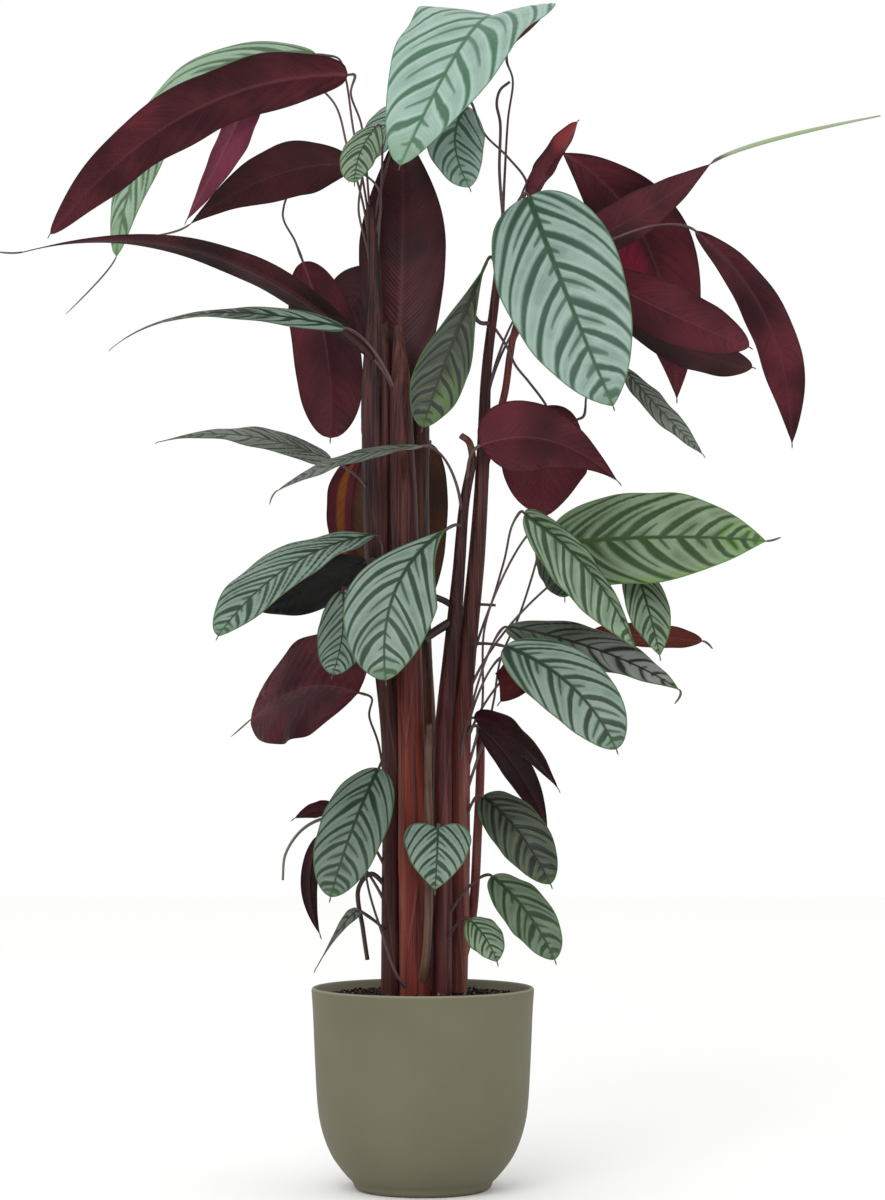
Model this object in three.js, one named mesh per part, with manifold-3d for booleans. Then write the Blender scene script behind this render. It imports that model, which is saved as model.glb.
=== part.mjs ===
// Potted never never plant (Ctenanthe) in a plain matt pot.
// Millimetres, +Z up. The origin is the centre of the pot's flat underside.
// The viewer's side of the plant is -Y.
import * as THREE from "three";
import { mergeVertices } from "three/addons/utils/BufferGeometryUtils.js";
import Module from "manifold-3d";

const wasm = await Module();
wasm.setup();
const { Manifold, Mesh: SolidMesh } = wasm;

// Pot, outside radius and height of each station from the foot up
const POT_OUTSIDE = [
  [0, 72],
  [3, 76.5],
  [9, 79],
  [15, 85],
  [36, 101],
  [56, 110],
  [76, 115.5],
  [97, 118.3],
  [150, 121.3],
  [200, 123.5],
  [221, 125],
];
const POT_RIM = [
  [223.6, 124.6],
  [225, 122.5],
  [223.8, 120.8],
  [221, 120],
];
const POT_WALL = 5;
const POT_FLOOR = 12;
const POT_FLOOR_RADIUS = 76;
const POT_SEGMENTS = 32;

// Soil
const SOIL_TOP = 214;
const SOIL_EDGE = [119.4, 211];
const SOIL_CROWN_RADIUS = 80;
const SOIL_CLEARANCE = 0.35;
const HOLE_CLEARANCE = 0.35;
const HOLE_RINGS = 4;

// Stems
const CANE_SIDES = 8;
const STALK_RADIUS = 1.9;
const STALK_SIDES = 4;
const SHOOT_SIDES = 6;
const STALK_STEPS = 6;
const JOIN_GAP = 0.4;

// Leaf blades
const BLADE_THICKNESS = 1.2;
const BASE_HALF_WIDTH = 1.9;
const TIP_HALF_WIDTH = 0.7;
const TAIL_HALF_WIDTH = 1.1;
const TAIL_LEAD = 0.4;
const TAIL_ROWS = [0.3, 0.65, 1];
const EVEN_ROWS_SHARE = 0.45;
const CUP = 0.16;
const DROOP = 0.16;
const WAVE = 0.05;
const WAVES = 3;
const FAR_WAVE_PHASE = 2;
const LOBE = 0.1;
const ACROSS_WIDE = [-1, -0.5, 0, 0.5, 1];
const ACROSS_NARROW = [-1, 0, 1];
const NARROW_BLADE = 60;
const MEDIUM_BLADE = 150;
const LONG_BLADE = 250;

const STEM_COLOUR = 0x6a3230;
const POT_COLOUR = 0x75725c;
const SOIL_COLOUR = 0x1d1712;
const SILVER = 0x8fb3a2;
const GREEN = 0x4f6b45;
const DARK_GREEN = 0x27382b;
const BURGUNDY = 0x4b1f26;
const DARK_BURGUNDY = 0x33191d;
const MAGENTA = 0x6e2440;
const BROWN = 0x4a3126;

// Outline exponents of a blade's end half: blunt, pointed or drawn out
const BLUNT = [2.3, 0.6];
const POINTED = [1.7, 0.95];
const DRAWN = [1.3, 1.6];
const ROUND = [2.1, 0.55];

// Canes: stations from the soil upward, and the radius at each
const CANES = {
  cane_left: {
    at: [[-35, -1, 188], [-35, -1, 214], [-35, 1, 320], [-35, 4, 500], [-47, 8, 640], [-53, 10, 780],
      [-55, 12, 900], [-54, 12, 1010], [-60, 12, 1110]],
    radius: [11, 11, 10.5, 10.5, 12, 13, 12, 7, 3.5],
  },
  cane_red: {
    at: [[-9, -17, 188], [-9, -17, 214], [-11, -17, 320], [-13, -16, 500], [-17, -15, 640],
      [-22, -14, 780], [-25, -11, 900], [-28, -8, 970]],
    radius: [15.5, 15.5, 14.5, 13, 12, 12, 9, 4],
  },
  cane_purple: {
    at: [[21, -10, 188], [21, -10, 214], [22, -9, 320], [23, -6, 500], [33, -2, 610], [41, 0, 700],
      [47, 2, 770], [57, 0, 822]],
    radius: [10.5, 10.5, 10, 9, 7.5, 5.5, 4.5, 4],
  },
  cane_right: {
    at: [[38, 14, 188], [38, 14, 214], [41, 13, 320], [43, 12, 500], [51, 12, 610], [61, 12, 710],
      [68, 12, 820], [72, 12, 920], [82, 13, 1005], [92, 14, 1100]],
    radius: [11, 11, 10.5, 10, 8.5, 7.5, 6, 4.6, 4.2, 2.6],
  },
  cane_back: {
    at: [[-2, 22, 188], [-2, 22, 214], [2, 25, 320], [4, 28, 500], [-6, 32, 640], [-8, 36, 760],
      [-7, 38, 860], [-7, 38, 900]],
    radius: [11, 11, 10.5, 10, 12, 12, 11, 5],
  },
};

// Side shoots of a cane, and stalks that carry no blade: cut, withered, or hidden behind a leaf
const SHOOTS = {
  shoot_front: { cane: "cane_red", radius: 5,
    at: [[-9, -17, 216], [2, -34, 250], [7, -38, 340], [6, -34, 480], [8, -32, 520]] },
  shoot_left: { cane: "cane_left", radius: 6,
    at: [[-36, 3, 560], [-42, 0, 640], [-42, -2, 780], [-42, -1, 900], [-45, 5, 975]] },
  shoot_cut: { cane: "cane_left", radius: 2.8,
    at: [[-35, 1, 330], [-58, -6, 352], [-72, -10, 336], [-67, -10, 290], [-62, -9, 256]] },
  shoot_dry: { cane: "cane_left", radius: 2.4,
    at: [[-34, 3, 400], [-80, -4, 417], [-115, -8, 413], [-137, -10, 400], [-154, -12, 374],
      [-157, -12, 345]] },
  shoot_low: { cane: "cane_purple", radius: 5.5,
    at: [[34, -2, 636], [20, -6, 628], [2, -8, 616]] },
  shoot_mid: { cane: "cane_purple", radius: 4,
    at: [[38, 0, 650], [26, -2, 658], [12, -4, 664]] },
  shoot_hook: { cane: "cane_purple", radius: 4.2,
    at: [[57, 0, 816], [52, -8, 838], [43, -12, 845]] },
  shoot_base: { cane: "cane_right", radius: 5.5,
    at: [[38, 14, 230], [55, 18, 300], [62, 22, 400], [65, 25, 470], [65, 26, 520]] },
  shoot_right: { cane: "cane_right", radius: 4.4,
    at: [[67, 12, 800], [82, 16, 856], [93, 18, 897], [99, 17, 940], [104, 15, 966], [116, 10, 1000]] },
  shoot_twig: { cane: "cane_right", radius: 1.8,
    at: [[54, 12, 655], [68, 6, 655], [82, 2, 654]] },
  shoot_curl: { cane: "cane_right", radius: 2.6,
    at: [[77, 12, 975], [64, 2, 975], [56, -3, 985]] },
  shoot_fallen: { cane: "cane_right", radius: 1.6,
    at: [[78, 12, 975], [95, 8, 948], [105, 4, 926], [120, 2, 907], [140, 6, 880], [152, 12, 850]] },
  shoot_withered: { cane: "cane_right", radius: 1.8,
    at: [[92, 14, 1085], [87, 16, 1150], [88, 18, 1205], [84, 18, 1228], [88, 16, 1243], [99, 14, 1252]] },
};

// Leaves: base, middle and tip of the midrib; full width; the way the upper side faces;
// cane and height its stalk leaves from. rise and reach shape the stalk, and lead the start of the tail.
const LEAVES = {
  leaf_01: {
    line: [[-86, 0, 1257], [-261, -45, 1206], [-409, -110, 1058]],
    width: 76, face: [-0.15, 0.75, 0.65], peak: 0.45, base: [2.6, 0.45], tip: [2.5, 0.66], wave: 0.06,
    waves: 3.5, colour: BURGUNDY,
    cane: "cane_left", from: 960, rise: 150, reach: 8,
    via: [[-62, 10, 1120], [-70, 4, 1200], [-82, 0, 1236]],
  },
  leaf_02: {
    line: [[-124, 40, 1289], [-281, 62, 1245], [-354, 60, 1059]],
    width: 74, face: [-0.3, -0.75, 0.5], peak: 0.6, tip: BLUNT, tail: [-411, 54, 991], lead: 0.15,
    colour: SILVER,
    cane: "cane_left", from: 1000, rise: 170, reach: 10,
    via: [[-64, 20, 1110], [-80, 26, 1200], [-89, 32, 1260], [-97, 36, 1283]],
  },
  leaf_03: {
    line: [[-196, 22, 1247], [-228, 12, 1168], [-268, 4, 1092]],
    width: 48, face: [0.6, 0.75, 0.2], peak: 0.3, tip: POINTED, cup: 0.4, colour: MAGENTA,
    cane: "cane_left", from: 980, rise: 140, reach: 14,
    via: [[-66, 18, 1100], [-86, 20, 1176], [-103, 24, 1231], [-145, 28, 1262]],
  },
  leaf_04: {
    line: [[-83, 45, 1164], [-178, 62, 1151], [-269, 60, 1096]],
    width: 70, face: [0, 0.8, 0.6], peak: 0.4, tip: [1.5, 1.1], tail: [-307, 58, 1083],
    colour: DARK_BURGUNDY,
    cane: "cane_left", from: 940, rise: 120, reach: 12,
    via: [[-62, 22, 1052], [-74, 36, 1108]],
  },
  leaf_05: {
    line: [[-55, -12, 931], [-239, -64, 1043], [-442, -85, 1042]],
    width: 40, face: [0.2, 0.7, 0.7], peak: 0.38, tip: DRAWN, cup: 0.3, wave: 0.02,
    tail: [-472, -88, 1042], colour: BURGUNDY,
    cane: "cane_red", from: 800, rise: 50, reach: 40,
  },
  leaf_06: {
    line: [[-87, -42, 963], [-240, -92, 972], [-339, -120, 932]],
    width: 46, face: [0, -0.38, 0.92], twist: 0.35, peak: 0.2, tip: DRAWN, wave: 0.02, colour: GREEN,
    cane: "cane_red", from: 860, rise: 40, reach: 30,
  },
  leaf_07: {
    line: [[-138, 45, 1050], [-112, 72, 952], [-107, 64, 849]],
    width: 78, face: [-0.1, 0.85, 0.3], peak: 0.5, tip: [2.6, 0.5], colour: BURGUNDY,
    cane: "cane_left", from: 1060, rise: 60, reach: 24,
    via: [[-48, 15, 1111], [-57, 50, 1143], [-100, 92, 1169], [-148, 92, 1150], [-163, 80, 1113]],
  },
  leaf_08: {
    line: [[-34, 26, 884], [-24, 42, 1047], [-26, 56, 1207]],
    width: 100, face: [0.1, 0.9, -0.1], peak: 0.56, tip: POINTED, colour: DARK_BURGUNDY,
    cane: "cane_back", from: 780, rise: 30, reach: 30,
  },
  leaf_09: {
    line: [[97, 98, 1302], [63, -25, 1310], [-24, -132, 1130]],
    width: 163, face: [-0.19, -0.54, 0.81], peak: 0.42, base: [1.6, 1.3], tip: BLUNT, lobe: 0, cup: 0.3,
    colour: SILVER,
    cane: "cane_right", from: 1080, rise: 60, reach: 12,
    via: [[93, 40, 1140], [98, 70, 1220], [104, 92, 1270]],
  },
  leaf_10: {
    line: [[-52, -8, 1197], [-70, -32, 1163], [-76, -60, 1124]],
    width: 46, face: [-0.3, -0.85, 0.4], peak: 0.45, tip: BLUNT, colour: SILVER,
    cane: "cane_left", from: 980, rise: 90, reach: 25,
  },
  leaf_11: {
    line: [[50, 8, 1223], [36, -25, 1176], [52, -50, 1120]],
    width: 68, face: [0.2, -0.85, 0.45], peak: 0.42, tip: BLUNT, colour: SILVER,
    cane: "cane_right", from: 1060, rise: 120, reach: 8,
    via: [[112, 16, 1112], [118, 16, 1136], [96, 14, 1166], [70, 13, 1192]],
  },
  leaf_12: {
    line: [[120, 12, 1118], [146, 20, 1161], [176, 26, 1208]],
    width: 30, face: [-0.6, 0.7, 0.3], peak: 0.45, tip: BLUNT, cup: 0.5, colour: BURGUNDY,
    cane: "cane_right", from: 930, rise: 90, reach: 30,
  },
  leaf_13: {
    line: [[160, 40, 1175], [261, 105, 1080], [300, 170, 906]],
    width: 112, face: [0.35, 0.85, 0.35], peak: 0.48, base: [1.6, 0.9], tip: POINTED, wave: 0.03,
    colour: DARK_BURGUNDY,
    cane: "cane_right", from: 960, rise: 130, reach: 40,
  },
  leaf_14: {
    line: [[175, 8, 1063], [252, 32, 1107], [331, 62, 1166]],
    width: 59, face: [-0.2, 0.8, 0.5], peak: 0.35, tip: POINTED, tail: [531, 82, 1226], tailWidth: 2.4,
    lead: 0.2, colour: BURGUNDY,
    cane: "cane_right", from: 850, rise: 110, reach: 40,
  },
  leaf_15: {
    line: [[200, -8, 1024], [290, -10, 979], [370, 10, 948]],
    width: 68, face: [0.1, 0.85, 0.45], peak: 0.4, tip: [2.1, 0.65], colour: BURGUNDY,
    cane: "shoot_right", from: 960, rise: 60, reach: 40,
  },
  leaf_16: {
    line: [[216, 14, 996], [305, 45, 950], [380, 75, 932]],
    width: 47, face: [0.1, 0.8, 0.4], peak: 0.45, tip: BLUNT, colour: DARK_BURGUNDY,
    cane: "shoot_right", from: 940, rise: 60, reach: 40,
  },
  leaf_17: {
    line: [[312, 30, 1083], [400, 90, 988], [433, 140, 850]],
    width: 57, face: [0.5, 0.75, 0.2], peak: 0.64, tip: POINTED, colour: BURGUNDY,
    cane: "shoot_right", from: 980, rise: 60, reach: 60,
  },
  leaf_18: {
    line: [[119, -20, 1115], [159, -100, 992], [206, -165, 863]],
    width: 138, face: [-0.25, -0.9, 0.35], peak: 0.4, tip: [2.2, 0.8], lobe: 0.25, colour: SILVER,
    cane: "cane_right", from: 1040, rise: 40, reach: 24,
  },
  leaf_19: {
    line: [[225, -10, 923], [266, -50, 869], [309, -85, 818]],
    width: 35, face: [0.4, -0.8, 0.5], peak: 0.5, tip: POINTED, wave: 0.02, colour: GREEN,
    cane: "shoot_right", from: 970, rise: 30, reach: 40,
    via: [[130, 12, 1000], [175, 14, 980]],
  },
  leaf_20: {
    line: [[72, -2, 1043], [31, -34, 941], [0, -58, 850]],
    width: 62, face: [-0.3, -0.85, -0.25], peak: 0.6, base: [1.3, 1.4], tip: BLUNT, colour: DARK_GREEN,
    cane: "cane_right", from: 990, rise: 50, reach: 20,
  },
  leaf_21: {
    line: [[65, -22, 833], [142, -42, 837], [218, -50, 790]],
    width: 86, face: [0.1, 0.85, 0.35], peak: 0.3, tip: [1.5, 1.2], wave: 0.02, colour: BURGUNDY,
    cane: "cane_purple", from: 780, rise: 20, reach: 20,
  },
  leaf_22: {
    line: [[176, 42, 868], [141, 46, 827], [141, 40, 758]],
    width: 98, face: [-0.1, 0.85, -0.2], peak: 0.55, tip: [2.1, 0.7], wave: 0.02, colour: BURGUNDY,
    cane: "shoot_right", from: 985, rise: 20, reach: 8,
    via: [[150, 16, 990], [186, 28, 930], [186, 38, 890]],
  },
  leaf_23: {
    line: [[-102, -18, 816], [-199, -50, 841], [-291, -80, 832]],
    width: 74, face: [0, -0.5, 0.87], peak: 0.25, tip: DRAWN, wave: 0.01, colour: GREEN,
    cane: "cane_left", from: 740, rise: 40, reach: 40,
  },
  leaf_24: {
    line: [[0, -48, 830], [-83, -78, 813], [-159, -95, 777]],
    width: 48, face: [0, -0.28, 0.96], peak: 0.45, tip: POINTED, wave: 0.01, tail: [-168, -97, 761],
    colour: GREEN,
    cane: "cane_purple", from: 740, rise: 40, reach: 30,
  },
  leaf_25: {
    line: [[-72, 36, 822], [-84, 56, 768], [-78, 54, 690]],
    width: 56, face: [-0.2, 0.85, 0], peak: 0.45, tip: BLUNT, colour: BURGUNDY,
    cane: "cane_left", from: 720, rise: 40, reach: 30,
  },
  leaf_26: {
    line: [[-57, -30, 731], [-145, -118, 692], [-217, -195, 614]],
    width: 74, face: [-0.3, -0.7, 0.65], peak: 0.58, tip: BLUNT, cup: 0.25, wave: 0.03, colour: SILVER,
    cane: "cane_left", from: 640, rise: 40, reach: 30,
  },
  leaf_27: {
    line: [[-64, -12, 703], [-123, -28, 671], [-185, -48, 646]],
    width: 56, face: [0, -0.75, -0.4], peak: 0.45, tip: POINTED, colour: DARK_GREEN,
    cane: "cane_left", from: 620, rise: 40, reach: 30,
  },
  leaf_28: {
    line: [[27, -52, 737], [-29, -125, 666], [-39, -160, 567]],
    width: 100, face: [-0.1, -0.95, 0.25], peak: 0.55, base: [1.3, 1.25], tip: BLUNT, colour: SILVER,
    cane: "cane_purple", from: 735, rise: 14, reach: 14,
  },
  leaf_29: {
    line: [[-88, -72, 668], [-88, -90, 619], [-98, -110, 574]],
    width: 56, face: [-0.2, -0.9, 0.3], peak: 0.5, tip: BLUNT, wave: 0.02, colour: SILVER,
    cane: "cane_left", from: 580, rise: 40, reach: 20,
  },
  leaf_30: {
    line: [[-74, 30, 556], [-134, -35, 561], [-188, -100, 525]],
    width: 146, face: [-0.73, 0.45, 0.49], peak: 0.5, tip: BLUNT, wave: 0.03, tail: [-209, -110, 506],
    colour: BURGUNDY,
    cane: "cane_left", from: 380, rise: 30, reach: 22,
    via: [[-50, 15, 496], [-61, 24, 529]],
  },
  leaf_31: {
    line: [[114, -50, 754], [184, -122, 685], [230, -170, 601]],
    width: 63, face: [-0.47, -0.78, -0.41], peak: 0.5, tip: POINTED, cup: 0.8, wave: 0.02,
    colour: SILVER,
    cane: "cane_right", from: 440, rise: 80, reach: 6,
    via: [[66, 10, 532], [69, 6, 624], [83, -8, 674], [92, -22, 706], [100, -38, 742]],
  },
  leaf_32: {
    line: [[139, -15, 721], [259, -80, 726], [374, -130, 719]],
    width: 116, face: [0.1, -0.93, 0.35], peak: 0.46, base: [2.6, 0.42], tip: POINTED, wave: 0.03,
    tail: [390, -132, 723], colour: GREEN,
    cane: "cane_right", from: 420, rise: 60, reach: 8,
    via: [[74, 14, 520], [80, 14, 546], [88, 12, 594], [109, 6, 643], [127, -6, 700]],
  },
  leaf_33: {
    line: [[234, -40, 703], [250, -65, 648], [261, -90, 595]],
    width: 50, face: [0.2, -0.9, 0.3], peak: 0.5, tip: POINTED, wave: 0.02, colour: SILVER,
    cane: "cane_right", from: 520, rise: 100, reach: 60,
  },
  leaf_34: {
    line: [[192, 20, 625], [259, 36, 621], [319, 50, 615]],
    width: 31, face: [0, 0.85, 0.5], peak: 0.5, tip: BLUNT, wave: 0.02, tail: [331, 50, 606],
    colour: MAGENTA,
    cane: "cane_right", from: 450, rise: 100, reach: 60,
  },
  leaf_35: {
    line: [[94, -18, 629], [196, -70, 601], [280, -110, 558]],
    width: 71, face: [0.1, -0.65, 0.75], peak: 0.4, tip: POINTED, wave: 0.02, tail: [275, -120, 542],
    colour: DARK_GREEN,
    cane: "cane_right", from: 440, rise: 90, reach: 15,
  },
  leaf_36: {
    line: [[91, -60, 606], [161, -130, 562], [208, -180, 493]],
    width: 80, face: [0, -0.9, 0.4], peak: 0.45, tip: BLUNT, wave: 0.03, colour: SILVER,
    cane: "cane_right", from: 606, rise: 8, reach: 12,
  },
  leaf_37: {
    line: [[96, -8, 594], [103, -6, 572], [87, -4, 545]],
    width: 44, face: [0, 0.9, 0.2], peak: 0.45, tip: POINTED, wave: 0.02, colour: MAGENTA,
    cane: "cane_right", from: 450, rise: 80, reach: 20,
  },
  leaf_38: {
    line: [[58, -14, 527], [107, -40, 502], [150, -62, 449]],
    width: 46, face: [0.4, 0.6, 0.6], peak: 0.38, tip: POINTED, wave: 0.02, colour: DARK_BURGUNDY,
    cane: "cane_right", from: 400, rise: 40, reach: 20,
  },
  leaf_39: {
    line: [[64, 4, 516], [106, 16, 470], [141, 26, 401]],
    width: 34, face: [0.1, 0.9, 0.2], peak: 0.5, tip: POINTED, wave: 0.02, colour: DARK_BURGUNDY,
    cane: "cane_right", from: 440, rise: 40, reach: 20,
  },
  leaf_40: {
    line: [[67, -6, 439], [105, -42, 403], [141, -75, 344]],
    width: 60, face: [0.15, -0.85, 0.1], peak: 0.5, tip: BLUNT, wave: 0.03, colour: DARK_GREEN,
    cane: "cane_right", from: 350, rise: 40, reach: 20,
  },
  leaf_41: {
    line: [[77, -38, 351], [115, -80, 313], [144, -115, 264]],
    width: 53, face: [0.1, -0.9, 0.3], peak: 0.48, tip: BLUNT, wave: 0.03, colour: GREEN,
    cane: "cane_purple", from: 280, rise: 30, reach: 20,
  },
  leaf_42: {
    line: [[52, -40, 303], [70, -58, 283], [82, -76, 259]],
    width: 40, face: [0.1, -0.9, 0.3], peak: 0.45, tip: [1.9, 0.75], wave: 0.02, colour: GREEN,
    cane: "cane_purple", from: 250, rise: 25, reach: 15,
  },
  leaf_43: {
    line: [[-49, -38, 471], [-77, -98, 404], [-99, -135, 333]],
    width: 74, face: [-0.1, -0.95, 0.3], peak: 0.45, tip: BLUNT, wave: 0.02, colour: SILVER,
    cane: "cane_red", from: 216, rise: 120, reach: 14,
    via: [[-28, -38, 240], [-46, -38, 290], [-62, -34, 345], [-67, -26, 420]],
  },
  leaf_44: {
    line: [[17, -60, 406], [16, -84, 374], [14, -100, 339]],
    width: 74, face: [0, -0.95, 0.3], peak: 0.3, tip: POINTED, lobe: 0.6, wave: 0.02, colour: SILVER,
    cane: "cane_purple", from: 330, rise: 40, reach: 20,
  },
  leaf_45: {
    line: [[-98, -18, 426], [-120, -22, 424], [-143, -24, 415]],
    width: 22, face: [0, 0.8, 0.5], peak: 0.4, tip: POINTED, wave: 0.02, colour: DARK_BURGUNDY,
    cane: "cane_left", from: 330, rise: 30, reach: 20,
  },
  leaf_46: {
    line: [[-118, -4, 394], [-128, 0, 339], [-116, 2, 284]],
    width: 20, face: [-0.3, 0.85, 0.2], peak: 0.45, tip: POINTED, wave: 0.02, colour: DARK_BURGUNDY,
    cane: "cane_left", from: 290, rise: 40, reach: 30,
  },
  leaf_47: {
    line: [[-68, -30, 311], [-86, -38, 300], [-118, -46, 250]],
    width: 18, face: [-0.3, -0.7, 0.6], peak: 0.35, tip: DRAWN, wave: 0.02, colour: GREEN,
    cane: "cane_left", from: 260, rise: 30, reach: 20,
  },
  leaf_48: {
    line: [[133, 8, 737], [153, 2, 697], [160, -2, 663]],
    width: 50, face: [-0.3, -0.8, -0.3], peak: 0.5, tip: BLUNT, wave: 0.02, colour: DARK_GREEN,
    cane: "cane_right", from: 540, rise: 70, reach: 30,
  },
  leaf_49: {
    line: [[8, 62, 842], [4, 82, 760], [2, 80, 660]],
    width: 48, face: [0, 0.9, 0.2], peak: 0.5, tip: BLUNT, colour: BROWN,
    cane: "cane_back", from: 740, rise: 30, reach: 20,
  },
  leaf_50: {
    line: [[-26, 32, 1223], [-56, 54, 1193], [-84, 62, 1150]],
    width: 52, face: [-0.3, -0.8, 0.5], peak: 0.45, tip: POINTED, colour: SILVER,
    cane: "cane_left", from: 1060, rise: 60, reach: 20,
  },
  leaf_51: {
    line: [[-50, 66, 1042], [-88, 120, 1000], [-112, 170, 920]],
    width: 70, face: [0.2, 0.8, 0.5], peak: 0.45, tip: POINTED, colour: BURGUNDY,
    cane: "cane_back", from: 760, rise: 150, reach: 30,
  },
  leaf_52: {
    line: [[130, 70, 1010], [190, 190, 1040], [230, 300, 960]],
    width: 92, face: [0, -0.2, 0.95], peak: 0.45, tip: POINTED, colour: SILVER,
    cane: "cane_right", from: 860, rise: 60, reach: 50,
  },
  leaf_53: {
    line: [[-50, 90, 610], [-100, 190, 600], [-130, 250, 520]],
    width: 84, face: [-0.2, 0.2, 0.95], peak: 0.45, tip: POINTED, colour: SILVER,
    cane: "cane_back", from: 500, rise: 50, reach: 40,
  },
};

function bezier(points, t) {
  const [p, q, r] = points;
  const a = (1 - t) * (1 - t);
  const b = 2 * t * (1 - t);
  const c = t * t;
  return new THREE.Vector3(
    a * p.x + b * q.x + c * r.x,
    a * p.y + b * q.y + c * r.y,
    a * p.z + b * q.z + c * r.z,
  );
}

// Three control points of a curve that passes through base, middle and tip
function controls(line) {
  const [base, middle, tip] = line.map((p) => new THREE.Vector3(...p));
  const bend = middle.clone().multiplyScalar(2).sub(base.clone().add(tip).multiplyScalar(0.5));
  return [base, bend, tip];
}

function slope(points, t) {
  const [p, q, r] = points;
  const first = q.clone().sub(p).multiplyScalar(1 - t);
  const last = r.clone().sub(q).multiplyScalar(t);
  return first.add(last).normalize();
}

// Half width of a blade as a share of its widest, from stalk (0) to tip (1)
function outline(leaf, t) {
  const peak = leaf.peak;
  const [a, b] = t < peak ? (leaf.base ?? ROUND) : leaf.tip;
  const s = t < peak ? 1 - t / peak : (t - peak) / (1 - peak);
  return Math.pow(Math.max(0, 1 - Math.pow(s, a)), b);
}

// Sideways direction of a blade at its middle, from the way its upper side faces there
function sideways(leaf, points) {
  const ahead = slope(points, 0.5);
  const face = new THREE.Vector3(...leaf.face);
  face.addScaledVector(ahead, -face.dot(ahead)).normalize();
  return ahead.cross(face);
}

// One cross row of a blade: points on its middle surface and the way they face
function bladeRow(leaf, points, t) {
  const ahead = slope(points, t);
  const side = sideways(leaf, points);
  side.addScaledVector(ahead, -side.dot(ahead)).normalize();
  side.applyAxisAngle(ahead, (leaf.twist ?? 0) * (t - 0.5) * 2);
  const face = side.clone().cross(ahead);
  const narrowest = THREE.MathUtils.lerp(BASE_HALF_WIDTH, TIP_HALF_WIDTH, t);
  const half = Math.max(narrowest, 0.5 * leaf.width * outline(leaf, t));
  const centre = bezier(points, t);
  const cup = leaf.cup ?? CUP;
  const droop = leaf.droop ?? DROOP;
  const wave = leaf.wave ?? WAVE;
  const waves = leaf.waves ?? WAVES;
  const lobe = leaf.lobe ?? LOBE;
  const across = acrossOf(leaf).map((r) => {
    const ripple = Math.sin(2 * Math.PI * waves * t + (r < 0 ? FAR_WAVE_PHASE : 0));
    const lift = half * (cup * Math.abs(r) - droop * r * r + wave * r * r * ripple);
    const back = (half - narrowest) * lobe * Math.pow(Math.abs(r), 3) * Math.pow(1 - t, 3);
    return centre.clone()
      .addScaledVector(side, half * r)
      .addScaledVector(face, lift)
      .addScaledVector(ahead, -back);
  });
  return { across, face };
}

function acrossOf(leaf) {
  return leaf.width < NARROW_BLADE ? ACROSS_NARROW : ACROSS_WIDE;
}

function bladeSteps(leaf, points) {
  const length = points[0].distanceTo(points[1]) + points[1].distanceTo(points[2]);
  return length > LONG_BLADE ? 10 : length > MEDIUM_BLADE ? 8 : 6;
}

// Closed blade: the same quads and diagonals on both faces, a rim strip all round
function bladeGeometry(leaf) {
  const points = controls(leaf.line);
  const steps = bladeSteps(leaf, points);
  const rows = [];
  for (let i = 0; i <= steps; i += 1) {
    const even = i / steps;
    const eased = 0.5 - 0.5 * Math.cos(Math.PI * even);
    const t = THREE.MathUtils.lerp(eased, even, EVEN_ROWS_SHARE);
    rows.push(bladeRow(leaf, points, t));
  }
  if (leaf.tail) {
    const end = new THREE.Vector3(...leaf.tail);
    const tipAhead = slope(points, 1);
    const run = end.distanceTo(points[2]);
    const lead = tipAhead.multiplyScalar((leaf.lead ?? TAIL_LEAD) * run);
    const trail = [points[2], points[2].clone().add(lead), end];
    const face = rows[rows.length - 1].face;
    const half = leaf.tailWidth ?? TAIL_HALF_WIDTH;
    for (const t of TAIL_ROWS) {
      const ahead = slope(trail, t);
      const up = face.clone().addScaledVector(ahead, -face.dot(ahead)).normalize();
      const side = ahead.clone().cross(up);
      const centre = bezier(trail, t);
      const across = acrossOf(leaf).map((r) => centre.clone().addScaledVector(side, half * r));
      rows.push({ across, face: up });
    }
  }
  const count = acrossOf(leaf).length;
  const positions = [];
  for (const shift of [0.5, -0.5]) {
    for (const row of rows) {
      for (const point of row.across) {
        const moved = point.clone().addScaledVector(row.face, shift * BLADE_THICKNESS);
        positions.push(moved.x, moved.y, moved.z);
      }
    }
  }
  const under = rows.length * count;
  const index = [];
  for (let i = 0; i + 1 < rows.length; i += 1) {
    for (let j = 0; j + 1 < count; j += 1) {
      const a = i * count + j;
      const b = a + 1;
      const c = a + count;
      const d = c + 1;
      index.push(a, b, d, a, d, c);
      index.push(under + a, under + d, under + b, under + a, under + c, under + d);
    }
    const left = i * count;
    const right = left + count - 1;
    index.push(left, left + count, under + left + count, left, under + left + count, under + left);
    index.push(right, under + right, under + right + count, right, under + right + count, right + count);
  }
  const last = (rows.length - 1) * count;
  for (let j = 0; j + 1 < count; j += 1) {
    index.push(j, under + j, under + j + 1, j, under + j + 1, j + 1);
    const k = last + j;
    index.push(k, k + 1, under + k + 1, k, under + k + 1, under + k);
  }
  const geometry = new THREE.BufferGeometry();
  geometry.setAttribute("position", new THREE.Float32BufferAttribute(positions, 3));
  geometry.setIndex(index);
  return geometry;
}

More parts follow.
